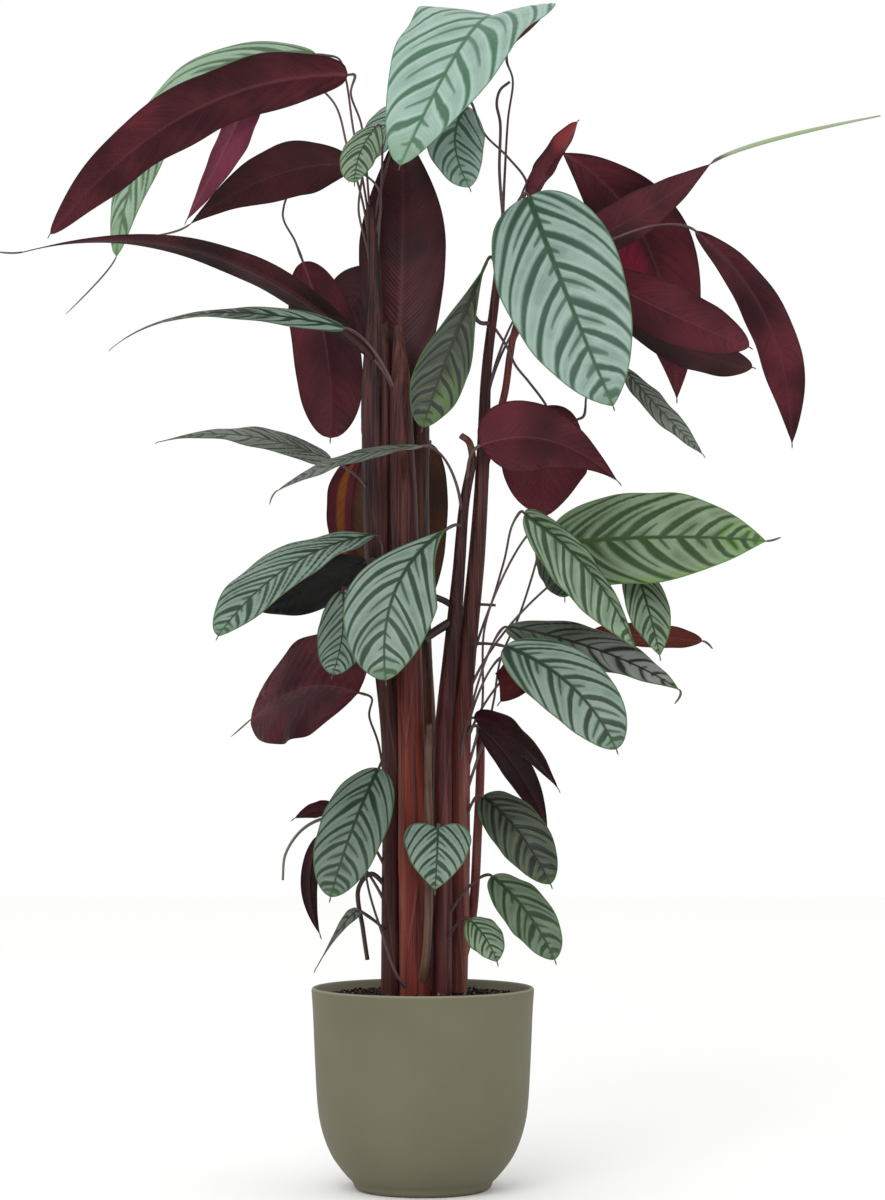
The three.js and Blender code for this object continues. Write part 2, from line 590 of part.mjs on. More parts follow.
// Closed round rod along a list of points, with a radius at each
function rodGeometry(points, radii, sides) {
  const rings = points.length;
  const positions = [];
  const index = [];
  let across = new THREE.Vector3(1, 0, 0);
  for (let i = 0; i < rings; i += 1) {
    const before = points[Math.max(0, i - 1)];
    const after = points[Math.min(rings - 1, i + 1)];
    const ahead = after.clone().sub(before).normalize();
    across.addScaledVector(ahead, -across.dot(ahead)).normalize();
    const other = ahead.clone().cross(across);
    for (let j = 0; j < sides; j += 1) {
      const angle = (2 * Math.PI * j) / sides;
      const point = points[i].clone()
        .addScaledVector(across, radii[i] * Math.cos(angle))
        .addScaledVector(other, radii[i] * Math.sin(angle));
      positions.push(point.x, point.y, point.z);
    }
  }
  for (let i = 0; i + 1 < rings; i += 1) {
    for (let j = 0; j < sides; j += 1) {
      const a = i * sides + j;
      const b = i * sides + ((j + 1) % sides);
      index.push(a, b, b + sides, a, b + sides, a + sides);
    }
  }
  const top = (rings - 1) * sides;
  for (let j = 1; j + 1 < sides; j += 1) {
    index.push(0, j + 1, j);
    index.push(top, top + j, top + j + 1);
  }
  const geometry = new THREE.BufferGeometry();
  geometry.setAttribute("position", new THREE.Float32BufferAttribute(positions, 3));
  geometry.setIndex(index);
  return geometry;
}

function toSolid(geometry) {
  return new Manifold(new SolidMesh({
    numProp: 3,
    vertProperties: new Float32Array(geometry.attributes.position.array),
    triVerts: new Uint32Array(geometry.index.array),
  }));
}

function toGeometry(solid) {
  const mesh = solid.getMesh();
  const geometry = new THREE.BufferGeometry();
  geometry.setAttribute("position", new THREE.Float32BufferAttribute(mesh.vertProperties, 3));
  geometry.setIndex(Array.from(mesh.triVerts));
  return geometry;
}

// Smooth path through a cane's stations, and the radius along it
function canePath(cane) {
  const at = cane.at.map((p) => new THREE.Vector3(...p));
  const curve = new THREE.CatmullRomCurve3(at, false, "centripetal");
  const points = [];
  const radii = [];
  const steps = (at.length - 1) * 2;
  for (let i = 0; i <= steps; i += 1) {
    const u = i / steps;
    const k = Math.min(Math.floor(u * (at.length - 1)), at.length - 2);
    points.push(curve.getPoint(u));
    radii.push(THREE.MathUtils.lerp(cane.radius[k], cane.radius[k + 1], u * (at.length - 1) - k));
  }
  return { points, radii };
}

function caneAt(path, height) {
  for (let i = 0; i + 1 < path.points.length; i += 1) {
    const low = path.points[i];
    const high = path.points[i + 1];
    if (height >= low.z && height <= high.z) {
      const u = (height - low.z) / (high.z - low.z);
      return { point: low.clone().lerp(high, u), ahead: high.clone().sub(low).normalize() };
    }
  }
  const end = path.points[path.points.length - 1];
  return { point: end.clone(), ahead: new THREE.Vector3(0, 0, 1) };
}

// Leaf stalk: leaves the cane along it, ends just short of the blade and in line with it
function stalkGeometry(leaf, path) {
  const points = controls(leaf.line);
  const ahead = slope(points, 0);
  const start = caneAt(path, leaf.from);
  const end = points[0].clone().addScaledVector(ahead, -JOIN_GAP);
  const rise = start.point.clone().addScaledVector(start.ahead, leaf.rise);
  const reach = end.clone().addScaledVector(ahead, -leaf.reach);
  const via = (leaf.via ?? []).map((p) => new THREE.Vector3(...p));
  const curve = leaf.via
    ? new THREE.CatmullRomCurve3([start.point, ...via, reach, end], false, "centripetal")
    : new THREE.CubicBezierCurve3(start.point, rise, reach, end);
  return stalkAlong(curve, STALK_RADIUS, STALK_STEPS + 2 * via.length, STALK_SIDES);
}

function alongShoot(shoot) {
  return throughPoints(shoot.at).getPoints(4 * shoot.at.length);
}

function throughPoints(at) {
  return new THREE.CatmullRomCurve3(at.map((p) => new THREE.Vector3(...p)), false, "centripetal");
}

// Closed stalk of one radius along a curve
function stalkAlong(curve, radius, steps, sides) {
  const section = new THREE.Shape();
  for (let j = 0; j < sides; j += 1) {
    const angle = (2 * Math.PI * j) / sides;
    const corner = [radius * Math.cos(angle), radius * Math.sin(angle)];
    if (j === 0) section.moveTo(...corner);
    else section.lineTo(...corner);
  }
  const geometry = new THREE.ExtrudeGeometry(section, {
    steps,
    bevelEnabled: false,
    extrudePath: curve,
  });
  return closed(geometry);
}

// Only the shared corner points are kept, which makes a closed mesh of a three.js shape
function closed(geometry) {
  geometry.deleteAttribute("normal");
  geometry.deleteAttribute("uv");
  return mergeVertices(geometry, 1e-4);
}

function potGeometry() {
  const outside = POT_OUTSIDE.map(([z, r]) => new THREE.Vector2(r, z));
  const rim = POT_RIM.map(([z, r]) => new THREE.Vector2(r, z));
  const inside = POT_OUTSIDE.filter(([z]) => z > POT_FLOOR && z < SOIL_TOP)
    .map(([z, r]) => new THREE.Vector2(r - POT_WALL, z))
    .reverse();
  const floor = [new THREE.Vector2(POT_FLOOR_RADIUS, POT_FLOOR), new THREE.Vector2(0, POT_FLOOR)];
  const profile = [new THREE.Vector2(0, 0), ...outside, ...rim, ...inside, ...floor];
  return closed(new THREE.LatheGeometry(profile, POT_SEGMENTS).rotateX(Math.PI / 2));
}

// Soil fills the pot, less a plain hole for each cane
function soilGeometry() {
  const side = POT_OUTSIDE.filter(([z]) => z > POT_FLOOR && z < SOIL_TOP)
    .map(([z, r]) => new THREE.Vector2(r - POT_WALL - SOIL_CLEARANCE, z));
  const bottom = POT_FLOOR + SOIL_CLEARANCE;
  const profile = [
    new THREE.Vector2(0, bottom),
    new THREE.Vector2(POT_FLOOR_RADIUS - SOIL_CLEARANCE, bottom),
    ...side,
    new THREE.Vector2(SOIL_EDGE[0] - SOIL_CLEARANCE, SOIL_EDGE[1]),
    new THREE.Vector2(SOIL_CROWN_RADIUS, SOIL_TOP),
    new THREE.Vector2(0, SOIL_TOP),
  ];
  let soil = toSolid(closed(new THREE.LatheGeometry(profile, POT_SEGMENTS).rotateX(Math.PI / 2)));
  for (const cane of Object.values(CANES)) {
    const path = canePath(cane);
    const points = path.points.slice(0, HOLE_RINGS).map((p) => p.clone());
    points[0].z -= HOLE_CLEARANCE;
    const radii = path.radii.slice(0, HOLE_RINGS).map((r) => r + HOLE_CLEARANCE);
    soil = soil.subtract(toSolid(rodGeometry(points, radii, CANE_SIDES)));
  }
  return toGeometry(soil);
}

function named(name, geometry, colour, roughness) {
  const material = new THREE.MeshStandardMaterial({ color: colour, roughness });
  const mesh = new THREE.Mesh(geometry, material);
  mesh.name = name;
  return mesh;
}

const plant = new THREE.Group();
plant.add(named("pot", potGeometry(), POT_COLOUR, 0.75));
plant.add(named("soil", soilGeometry(), SOIL_COLOUR, 0.95));

for (const [name, cane] of Object.entries(CANES)) {
  const path = canePath(cane);
  let clump = toSolid(rodGeometry(path.points, path.radii, CANE_SIDES));
  for (const leaf of Object.values(LEAVES)) {
    const shoot = SHOOTS[leaf.cane];
    if (leaf.cane === name || shoot?.cane === name) {
      clump = clump.add(toSolid(stalkGeometry(leaf, shoot ? { points: alongShoot(shoot) } : path)));
    }
  }
  for (const shoot of Object.values(SHOOTS)) {
    if (shoot.cane === name) {
      const sides = shoot.radius > STALK_RADIUS ? SHOOT_SIDES : STALK_SIDES;
      const geometry = stalkAlong(throughPoints(shoot.at), shoot.radius, 2 * shoot.at.length, sides);
      clump = clump.add(toSolid(geometry));
    }
  }
  plant.add(named(name, toGeometry(clump), STEM_COLOUR, 0.6));
}

for (const [name, leaf] of Object.entries(LEAVES)) {
  plant.add(named(name, bladeGeometry(leaf), leaf.colour, 0.55));
}

export default plant;
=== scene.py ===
import functools
import math

import bpy
import numpy as np
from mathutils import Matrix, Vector, noise


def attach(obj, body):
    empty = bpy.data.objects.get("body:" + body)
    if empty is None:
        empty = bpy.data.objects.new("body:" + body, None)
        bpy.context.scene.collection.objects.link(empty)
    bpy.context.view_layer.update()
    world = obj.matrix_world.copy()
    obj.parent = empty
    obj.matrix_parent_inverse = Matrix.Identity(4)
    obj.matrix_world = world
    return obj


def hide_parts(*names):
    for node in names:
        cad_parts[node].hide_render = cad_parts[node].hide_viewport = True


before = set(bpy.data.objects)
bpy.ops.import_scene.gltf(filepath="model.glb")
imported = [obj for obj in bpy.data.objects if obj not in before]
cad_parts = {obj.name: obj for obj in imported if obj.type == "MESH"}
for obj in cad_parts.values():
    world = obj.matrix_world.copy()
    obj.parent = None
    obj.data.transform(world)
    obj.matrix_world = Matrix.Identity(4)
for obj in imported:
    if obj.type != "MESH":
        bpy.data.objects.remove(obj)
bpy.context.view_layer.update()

# Potted never never plant: the looks of the pot, its soil, the canes with their stalks and the leaf blades.
# The viewer's side is -Y.  The tables of sizes and places are in millimetres, and MM makes them metres.
MM = 0.001

# Outline exponents of a blade's tip, blunt, pointed or drawn out, and of its usual round base
BLUNT = (2.3, 0.6)
POINTED = (1.7, 0.95)
DRAWN = (1.3, 1.6)
ROUND = (2.1, 0.55)

# Upper side of a blade, in sRGB from 0 to 255: two ground tones, stripe, midrib and margin. The mint tone
# is the silvery upper side painted lighter, as painted light. The dusk, moss, shade and black tones are it
# painted darker, as painted shade. Each is chosen for how much light its blade catches.
UPPER = {
    "lit_mint": ((163, 190, 178), (147, 175, 161), (62, 100, 74), (74, 112, 84), (104, 140, 104)),
    "fresh": ((152, 176, 152), (134, 158, 134), (70, 96, 64), (84, 112, 76), (100, 140, 84)),
    "silver": ((152, 176, 164), (132, 157, 145), (44, 74, 56), (54, 84, 64), (84, 116, 82)),
    "sage": ((138, 158, 145), (118, 140, 126), (36, 56, 40), (46, 66, 48), (80, 110, 70)),
    "leek": ((142, 164, 138), (118, 140, 116), (46, 66, 40), (54, 76, 46), (84, 118, 64)),
    "shaded_dusk": ((116, 134, 121), (98, 117, 104), (34, 50, 36), (44, 60, 44), (72, 102, 60)),
    "shaded_moss": ((84, 96, 77), (68, 80, 63), (20, 27, 16), (28, 36, 22), (60, 88, 44)),
    "lime": ((132, 152, 124), (106, 127, 97), (40, 66, 26), (52, 78, 36), (92, 130, 52)),
    "fern": ((106, 124, 103), (86, 104, 83), (40, 58, 36), (50, 68, 44), (72, 104, 60)),
    "grey": ((124, 132, 122), (105, 113, 103), (56, 65, 53), (66, 76, 62), (84, 98, 72)),
    "shade": ((86, 96, 82), (66, 76, 62), (28, 35, 25), (38, 46, 32), (72, 104, 50)),
    "shaded_black": ((36, 38, 32), (28, 30, 25), (18, 22, 16), (24, 28, 20), (32, 40, 28)),
}

# Underside of a blade: two ground tones, midrib and margin. The black tones are the burgundy painted
# darker, as painted shade on undersides that stand in shadow.
UNDER = {
    # The burgundy's first ground tone is lifted in green and blue: the leaf's own wine red with a painted
    # sheen on it.
    "burgundy": ((107, 47, 56), (60, 30, 36), (124, 70, 76), (54, 34, 32)),
    "wine": ((80, 38, 44), (46, 24, 29), (96, 60, 64), (40, 27, 27)),
    "magenta": ((116, 45, 67), (91, 34, 51), (150, 98, 110), (92, 50, 60)),
    "red": ((106, 44, 36), (82, 34, 28), (132, 84, 68), (74, 52, 30)),
    "crimson": ((94, 30, 36), (64, 26, 30), (112, 62, 62), (48, 30, 28)),
    "brown": ((94, 60, 44), (66, 46, 36), (110, 84, 60), (50, 36, 26)),
    "shaded_black": ((60, 30, 35), (43, 24, 28), (80, 50, 52), (36, 25, 24)),
}

# Withered tails: usual tones, and where on the way, in blade lengths, the second takes over
TAIL_TONES = ((104, 92, 80), (104, 92, 80))
TAIL_CHANGE = (1.12, 1.3)

# Canes: centre line and radius at each of its points
CANES = {
    "cane_left": dict(
        at=((-35, -1, 188), (-35, -1, 214), (-35, 1, 320), (-35, 4, 500), (-47, 8, 640), (-53, 10, 780),
            (-55, 12, 900), (-54, 12, 1010), (-60, 12, 1110)),
        radius=(11, 11, 10.5, 10.5, 12, 13, 12, 7, 3.5),
    ),
    "cane_red": dict(
        at=((-9, -17, 188), (-9, -17, 214), (-11, -17, 320), (-13, -16, 500), (-17, -15, 640),
            (-22, -14, 780), (-25, -11, 900), (-28, -8, 970)), radius=(15.5, 15.5, 14.5, 13, 12, 12, 9, 4),
    ),
    "cane_purple": dict(
        at=((21, -10, 188), (21, -10, 214), (22, -9, 320), (23, -6, 500), (33, -2, 610), (41, 0, 700),
            (47, 2, 770), (57, 0, 822)), radius=(10.5, 10.5, 10, 9, 7.5, 5.5, 4.5, 4),
    ),
    "cane_right": dict(
        at=((38, 14, 188), (38, 14, 214), (41, 13, 320), (43, 12, 500), (51, 12, 610), (61, 12, 710),
            (68, 12, 820), (72, 12, 920), (82, 13, 1005), (92, 14, 1100)),
        radius=(11, 11, 10.5, 10, 8.5, 7.5, 6, 4.6, 4.2, 2.6),
    ),
    "cane_back": dict(
        at=((-2, 22, 188), (-2, 22, 214), (2, 25, 320), (4, 28, 500), (-6, 32, 640), (-8, 36, 760),
            (-7, 38, 860), (-7, 38, 900)), radius=(11, 11, 10.5, 10, 12, 12, 11, 5),
    ),
}

# Side shoots, withered sheaths and twigs that grow from the canes
SHOOTS = {
    "shoot_front": dict(
        cane="cane_red", radius=5, at=((-9, -17, 216), (2, -34, 250), (7, -38, 340), (6, -34, 480),
            (8, -32, 520)),
    ),
    "shoot_left": dict(
        cane="cane_left", radius=6, at=((-36, 3, 560), (-42, 0, 640), (-42, -2, 780), (-42, -1, 900),
            (-45, 5, 975)),
    ),
    "shoot_cut": dict(
        cane="cane_left", radius=2.8, at=((-35, 1, 330), (-58, -6, 352), (-72, -10, 336), (-67, -10, 290),
            (-62, -9, 256)),
    ),
    "shoot_dry": dict(
        cane="cane_left", radius=2.4, at=((-34, 3, 400), (-80, -4, 417), (-115, -8, 413), (-137, -10, 400),
            (-154, -12, 374), (-157, -12, 345)),
    ),
    "shoot_low": dict(cane="cane_purple", radius=5.5, at=((34, -2, 636), (20, -6, 628), (2, -8, 616))),
    "shoot_mid": dict(cane="cane_purple", radius=4, at=((38, 0, 650), (26, -2, 658), (12, -4, 664))),
    "shoot_hook": dict(cane="cane_purple", radius=4.2, at=((57, 0, 816), (52, -8, 838), (43, -12, 845))),
    "shoot_base": dict(
        cane="cane_right", radius=5.5, at=((38, 14, 230), (55, 18, 300), (62, 22, 400), (65, 25, 470),
            (65, 26, 520)),
    ),
    "shoot_right": dict(
        cane="cane_right", radius=4.4, at=((67, 12, 800), (82, 16, 856), (93, 18, 897), (99, 17, 940),
            (104, 15, 966), (116, 10, 1000)),
    ),
    "shoot_twig": dict(cane="cane_right", radius=1.8, at=((54, 12, 655), (68, 6, 655), (82, 2, 654))),
    "shoot_curl": dict(cane="cane_right", radius=2.6, at=((77, 12, 975), (64, 2, 975), (56, -3, 985))),
    "shoot_fallen": dict(
        cane="cane_right", radius=1.6, at=((78, 12, 975), (95, 8, 948), (105, 4, 926), (120, 2, 907),
            (140, 6, 880), (152, 12, 850)),
    ),
    "shoot_withered": dict(
        cane="cane_right", radius=1.8, at=((92, 14, 1085), (87, 16, 1150), (88, 18, 1205), (84, 18, 1228),
            (88, 16, 1243), (99, 14, 1252)),
    ),
}

# What a leaf has unless its own entry says otherwise:
# peak, base, tip, lobe: where it is widest, outline exponents, and how far its base lobes run back
# cup, wave, waves, twist: rise of its sides and of its margin's waves, number of these, and turn in radians
# tail, tail_half, lead: end, half width and straight share of a withered tail
# rise, reach, via: how far its stalk keeps to the cane's and the blade's direction, or points it passes
# upper, under, spots: tones of both sides and their blushes
# veins, sweep, bold: number of side veins, how far they run forward, and breadth of the stripes
USUAL_LEAF = dict(
    twist=0, peak=0.45, base=ROUND, tip=POINTED, lobe=0.1, cup=0.16, wave=0.05, waves=3, tail=None,
    tail_half=1.1, lead=0.4, rise=40, reach=20, via=(), upper="silver", upper_spots=(), under="burgundy",
    under_spots=(), tail_tones=TAIL_TONES, veins=7, sweep=1, bold=1,
)


def grow(line, width, face, cane, foot, **own):
    """A leaf: line, width and facing of its blade, and the cane and height where its stalk starts."""
    return {"line": line, "width": width, "face": face, "cane": cane, "foot": foot, **USUAL_LEAF, **own}


# Leaves.  Places across and up are measured from the photograph, and depths are guessed from it
LEAVES = {
    1: grow(((-86, 0, 1257), (-261, -45, 1206), (-409, -110, 1058)), 76, (-0.15, 0.75, 0.65), "cane_left",
        960, base=(2.6, 0.45), tip=(2.5, 0.66), wave=0.06, waves=3.5, rise=150, reach=8,
        via=((-62, 10, 1120), (-70, 4, 1200), (-82, 0, 1236))),
    2: grow(((-124, 40, 1289), (-281, 62, 1245), (-354, 60, 1059)), 74, (-0.3, -0.75, 0.5), "cane_left",
        1000, peak=0.6, tip=BLUNT, tail=(-411, 54, 991), lead=0.15, rise=170, reach=10,
        via=((-64, 20, 1110), (-80, 26, 1200), (-89, 32, 1260), (-97, 36, 1283)), upper="fresh", veins=7.5,
        sweep=2.2),
    3: grow(((-196, 22, 1247), (-228, 12, 1168), (-268, 4, 1092)), 48, (0.6, 0.75, 0.2), "cane_left", 980,
        peak=0.3, cup=0.4, rise=140, reach=14, via=((-66, 18, 1100), (-86, 20, 1176), (-103, 24, 1231),
            (-145, 28, 1262)), under="magenta"),
    4: grow(((-83, 45, 1164), (-178, 62, 1151), (-269, 60, 1096)), 70, (0, 0.8, 0.6), "cane_left", 940,
        peak=0.4, tip=(1.5, 1.1), tail=(-307, 58, 1083), rise=120, reach=12, via=((-62, 22, 1052),
            (-74, 36, 1108)), under="wine"),
    5: grow(((-55, -12, 931), (-239, -64, 1043), (-442, -85, 1042)), 40, (0.2, 0.7, 0.7), "cane_red", 800,
        peak=0.38, tip=DRAWN, cup=0.3, wave=0.02, tail=(-472, -88, 1042), rise=50, reach=40, under="wine"),
    6: grow(((-87, -42, 963), (-240, -92, 972), (-339, -120, 932)), 46, (0, -0.38, 0.92), "cane_red", 860,
        twist=0.35, peak=0.2, tip=DRAWN, wave=0.02, reach=30, upper="sage",
        upper_spots=((0.5, 0.5, 0.26, 1.5, (60, 42, 44)),), veins=8),
    7: grow(((-138, 45, 1050), (-112, 72, 952), (-107, 64, 849)), 78, (-0.1, 0.85, 0.3), "cane_left", 1060,
        peak=0.5, tip=(2.6, 0.5), rise=60, reach=24, via=((-48, 15, 1111), (-57, 50, 1143),
            (-100, 92, 1169), (-148, 92, 1150), (-163, 80, 1113))),
    8: grow(((-34, 26, 884), (-24, 42, 1047), (-26, 56, 1207)), 100, (0.1, 0.9, -0.1), "cane_back", 780,
        peak=0.56, rise=30, reach=30, under="wine"),
    9: grow(((97, 98, 1302), (63, -25, 1310), (-24, -132, 1130)), 163, (-0.19, -0.54, 0.81), "cane_right",
        1080, peak=0.42, base=(1.6, 1.3), tip=BLUNT, lobe=0, cup=0.3, rise=60, reach=12,
        via=((93, 40, 1140), (98, 70, 1220), (104, 92, 1270)), upper="lit_mint"),
    10: grow(((-52, -8, 1197), (-70, -32, 1163), (-76, -60, 1124)), 46, (-0.3, -0.85, 0.4), "cane_left",
        980, tip=BLUNT, rise=90, reach=25, upper="leek", veins=6, bold=1.4),
    11: grow(((50, 8, 1223), (36, -25, 1176), (52, -50, 1120)), 68, (0.2, -0.85, 0.45), "cane_right", 1060,
        peak=0.42, tip=BLUNT, rise=120, reach=8, via=((112, 16, 1112), (118, 16, 1136), (96, 14, 1166),
            (70, 13, 1192)), upper="lit_mint", veins=5.5, bold=1.2),
    12: grow(((120, 12, 1118), (146, 20, 1161), (176, 26, 1208)), 30, (-0.6, 0.7, 0.3), "cane_right", 930,
        tip=BLUNT, cup=0.5, rise=90, reach=30, under_spots=((0.95, 0.5, 0.35, 1.0, (150, 60, 60)),)),
    # The pinkish spot on leaf 13's underside is painted light shining through the blade.
    13: grow(((160, 40, 1175), (261, 105, 1080), (300, 170, 906)), 112, (0.35, 0.85, 0.35), "cane_right",
        960, peak=0.48, base=(1.6, 0.9), wave=0.03, rise=130, reach=40,
        under_spots=((0.5, 0.2, 0.2, 0.25, (136, 36, 60)),)),
    14: grow(((175, 8, 1063), (252, 32, 1107), (331, 62, 1166)), 59, (-0.2, 0.8, 0.5), "cane_right", 850,
        peak=0.35, tail=(531, 82, 1226), tail_half=2.4, lead=0.2, rise=110, reach=40,
        tail_tones=((104, 92, 80), (170, 185, 150))),
    15: grow(((200, -8, 1024), (290, -10, 979), (370, 10, 948)), 68, (0.1, 0.85, 0.45), "shoot_right", 960,
        peak=0.4, tip=(2.1, 0.65), rise=60, reach=40),
    16: grow(((216, 14, 996), (305, 45, 950), (380, 75, 932)), 47, (0.1, 0.8, 0.4), "shoot_right", 940,
        tip=BLUNT, rise=60, reach=40, under="wine"),
    17: grow(((312, 30, 1083), (400, 90, 988), (433, 140, 850)), 57, (0.5, 0.75, 0.2), "shoot_right", 980,
        peak=0.64, rise=60, reach=60),
    18: grow(((119, -20, 1115), (159, -100, 992), (206, -165, 863)), 138, (-0.25, -0.9, 0.35),
        "cane_right", 1040, peak=0.4, tip=(2.2, 0.8), lobe=0.25, reach=24, bold=1.3),
    19: grow(((225, -10, 923), (266, -50, 869), (309, -85, 818)), 35, (0.4, -0.8, 0.5), "shoot_right", 970,
        peak=0.5, wave=0.02, rise=30, reach=40, via=((130, 12, 1000), (175, 14, 980)), upper="grey",
        veins=8),
    # Leaf 20 faces down, away from the light: its shade tone and its first, large dark spot are painted
    # shade.
    20: grow(((72, -2, 1043), (31, -34, 941), (0, -58, 850)), 62, (-0.3, -0.85, -0.25), "cane_right", 990,
        peak=0.6, base=(1.3, 1.4), tip=BLUNT, rise=50, upper="shade",
        upper_spots=((0.35, 0.6, 0.7, 1.2, (62, 70, 54)), (0.95, 0.2, 0.35, 0.35, (84, 114, 60)))),
    21: grow(((65, -22, 833), (142, -42, 837), (218, -50, 790)), 86, (0.1, 0.85, 0.35), "cane_purple", 780,
        peak=0.3, tip=(1.5, 1.2), wave=0.02, rise=20),
    22: grow(((176, 42, 868), (141, 46, 827), (141, 40, 758)), 98, (-0.1, 0.85, -0.2), "shoot_right", 985,
        peak=0.55, tip=(2.1, 0.7), wave=0.02, rise=20, reach=8, via=((150, 16, 990), (186, 28, 930),
            (186, 38, 890))),
    23: grow(((-102, -18, 816), (-199, -50, 841), (-291, -80, 832)), 74, (0, -0.5, 0.87), "cane_left", 740,
        peak=0.25, tip=DRAWN, wave=0.01, reach=40, upper="grey", veins=8),
    24: grow(((0, -48, 830), (-83, -78, 813), (-159, -95, 777)), 48, (0, -0.28, 0.96), "cane_purple", 740,
        wave=0.01, tail=(-168, -97, 761), reach=30, upper="grey", veins=8),
    25: grow(((-72, 36, 822), (-84, 56, 768), (-78, 54, 690)), 56, (-0.2, 0.85, 0), "cane_left", 720,
        tip=BLUNT, reach=30, under_spots=((0.5, 0.3, 0.6, 0.1, (160, 92, 34)),
            (0.5, 0.9, 0.8, 0.35, (104, 84, 58)))),
    26: grow(((-57, -30, 731), (-145, -118, 692), (-217, -195, 614)), 74, (-0.3, -0.7, 0.65), "cane_left",
        640, peak=0.58, tip=BLUNT, cup=0.25, wave=0.03, reach=30, upper="sage", veins=9, sweep=1.6,
        bold=1.2),
    27: grow(((-64, -12, 703), (-123, -28, 671), (-185, -48, 646)), 56, (0, -0.75, -0.4), "cane_left", 620,
        reach=30, upper="shaded_black", veins=6, bold=1.2),
    28: grow(((27, -52, 737), (-29, -125, 666), (-39, -160, 567)), 100, (-0.1, -0.95, 0.25), "cane_purple",
        735, peak=0.55, base=(1.3, 1.25), tip=BLUNT, rise=14, reach=14, upper="sage", sweep=1.25),
    29: grow(((-88, -72, 668), (-88, -90, 619), (-98, -110, 574)), 56, (-0.2, -0.9, 0.3), "cane_left", 580,
        peak=0.5, tip=BLUNT, wave=0.02, upper="sage", veins=6, bold=1.15),
    30: grow(((-74, 30, 556), (-134, -35, 561), (-188, -100, 525)), 146, (-0.73, 0.45, 0.49), "cane_left",
        380, peak=0.5, tip=BLUNT, wave=0.03, tail=(-209, -110, 506), rise=30, reach=22,
        via=((-50, 15, 496), (-61, 24, 529))),
    31: grow(((114, -50, 754), (184, -122, 685), (230, -170, 601)), 63, (-0.47, -0.78, -0.41),
        "cane_right", 440, peak=0.5, cup=0.8, wave=0.02, rise=80, reach=6, via=((66, 10, 532),
            (69, 6, 624), (83, -8, 674), (92, -22, 706), (100, -38, 742)), upper="leek", sweep=1.3),
    32: grow(((139, -15, 721), (259, -80, 726), (374, -130, 719)), 116, (0.1, -0.93, 0.35), "cane_right",
        420, peak=0.46, base=(2.6, 0.42), wave=0.03, tail=(390, -132, 723), rise=60, reach=8,
        via=((74, 14, 520), (80, 14, 546), (88, 12, 594), (109, 6, 643), (127, -6, 700)), upper="lime",
        upper_spots=((0.95, 0.5, 0.2, 0.6, (104, 142, 66)), (0.1, 0.5, 0.3, 1.0, (70, 90, 62)),
            (0.65, 1.0, 0.5, 0.1, (108, 146, 60))), bold=1.3),
    33: grow(((234, -40, 703), (250, -65, 648), (261, -90, 595)), 50, (0.2, -0.9, 0.3), "cane_right", 520,
        peak=0.5, wave=0.02, rise=100, reach=60, upper="leek", veins=5.5, sweep=1.3),
    34: grow(((192, 20, 625), (259, 36, 621), (319, 50, 615)), 31, (0, 0.85, 0.5), "cane_right", 450,
        peak=0.5, tip=BLUNT, wave=0.02, tail=(331, 50, 606), rise=100, reach=60, under="red"),
    35: grow(((94, -18, 629), (196, -70, 601), (280, -110, 558)), 71, (0.1, -0.65, 0.75), "cane_right",
        440, peak=0.4, wave=0.02, tail=(275, -120, 542), rise=90, reach=15, upper="shade",
        upper_spots=((0.85, 0.5, 0.5, 0.8, (146, 152, 146)),), bold=0.8),
    36: grow(((91, -60, 606), (161, -130, 562), (208, -180, 493)), 80, (0, -0.9, 0.4), "cane_right", 606,
        tip=BLUNT, wave=0.03, rise=8, reach=12, upper="sage", veins=6, sweep=1.25, bold=1.1),
    37: grow(((96, -8, 594), (103, -6, 572), (87, -4, 545)), 44, (0, 0.9, 0.2), "cane_right", 450,
        wave=0.02, rise=80, under="crimson"),
    38: grow(((58, -14, 527), (107, -40, 502), (150, -62, 449)), 46, (0.4, 0.6, 0.6), "cane_right", 400,
        peak=0.38, wave=0.02, under="shaded_black"),
    39: grow(((64, 4, 516), (106, 16, 470), (141, 26, 401)), 34, (0.1, 0.9, 0.2), "cane_right", 440,
        peak=0.5, wave=0.02, under="shaded_black"),
    # Leaf 40's moss tone and the dark spot at its base are painted shade.
    40: grow(((67, -6, 439), (105, -42, 403), (141, -75, 344)), 60, (0.15, -0.85, 0.1), "cane_right", 350,
        peak=0.5, tip=BLUNT, wave=0.03, upper="shaded_moss", upper_spots=((0.1, 0.5, 0.45, 1.2, (44, 50, 38)),),
        veins=5.5, bold=1.3),
    41: grow(((77, -38, 351), (115, -80, 313), (144, -115, 264)), 53, (0.1, -0.9, 0.3), "cane_purple", 280,
        peak=0.48, tip=BLUNT, wave=0.03, rise=30, upper="fern", veins=5, bold=1.25),
    42: grow(((52, -40, 303), (70, -58, 283), (82, -76, 259)), 40, (0.1, -0.9, 0.3), "cane_purple", 250,
        tip=(1.9, 0.75), wave=0.02, rise=25, reach=15, upper="leek", veins=4, bold=1.2),
    43: grow(((-49, -38, 471), (-77, -98, 404), (-99, -135, 333)), 74, (-0.1, -0.95, 0.3), "cane_red", 216,
        tip=BLUNT, wave=0.02, rise=120, reach=14, via=((-28, -38, 240), (-46, -38, 290), (-62, -34, 345),
            (-67, -26, 420)), upper="shaded_dusk", bold=1.3),
    44: grow(((17, -60, 406), (16, -84, 374), (14, -100, 339)), 74, (0, -0.95, 0.3), "cane_purple", 330,
        peak=0.3, lobe=0.6, wave=0.02, upper="sage", veins=4.5, bold=1.4),
    45: grow(((-98, -18, 426), (-120, -22, 424), (-143, -24, 415)), 22, (0, 0.8, 0.5), "cane_left", 330,
        peak=0.4, wave=0.02, rise=30, under="wine"),
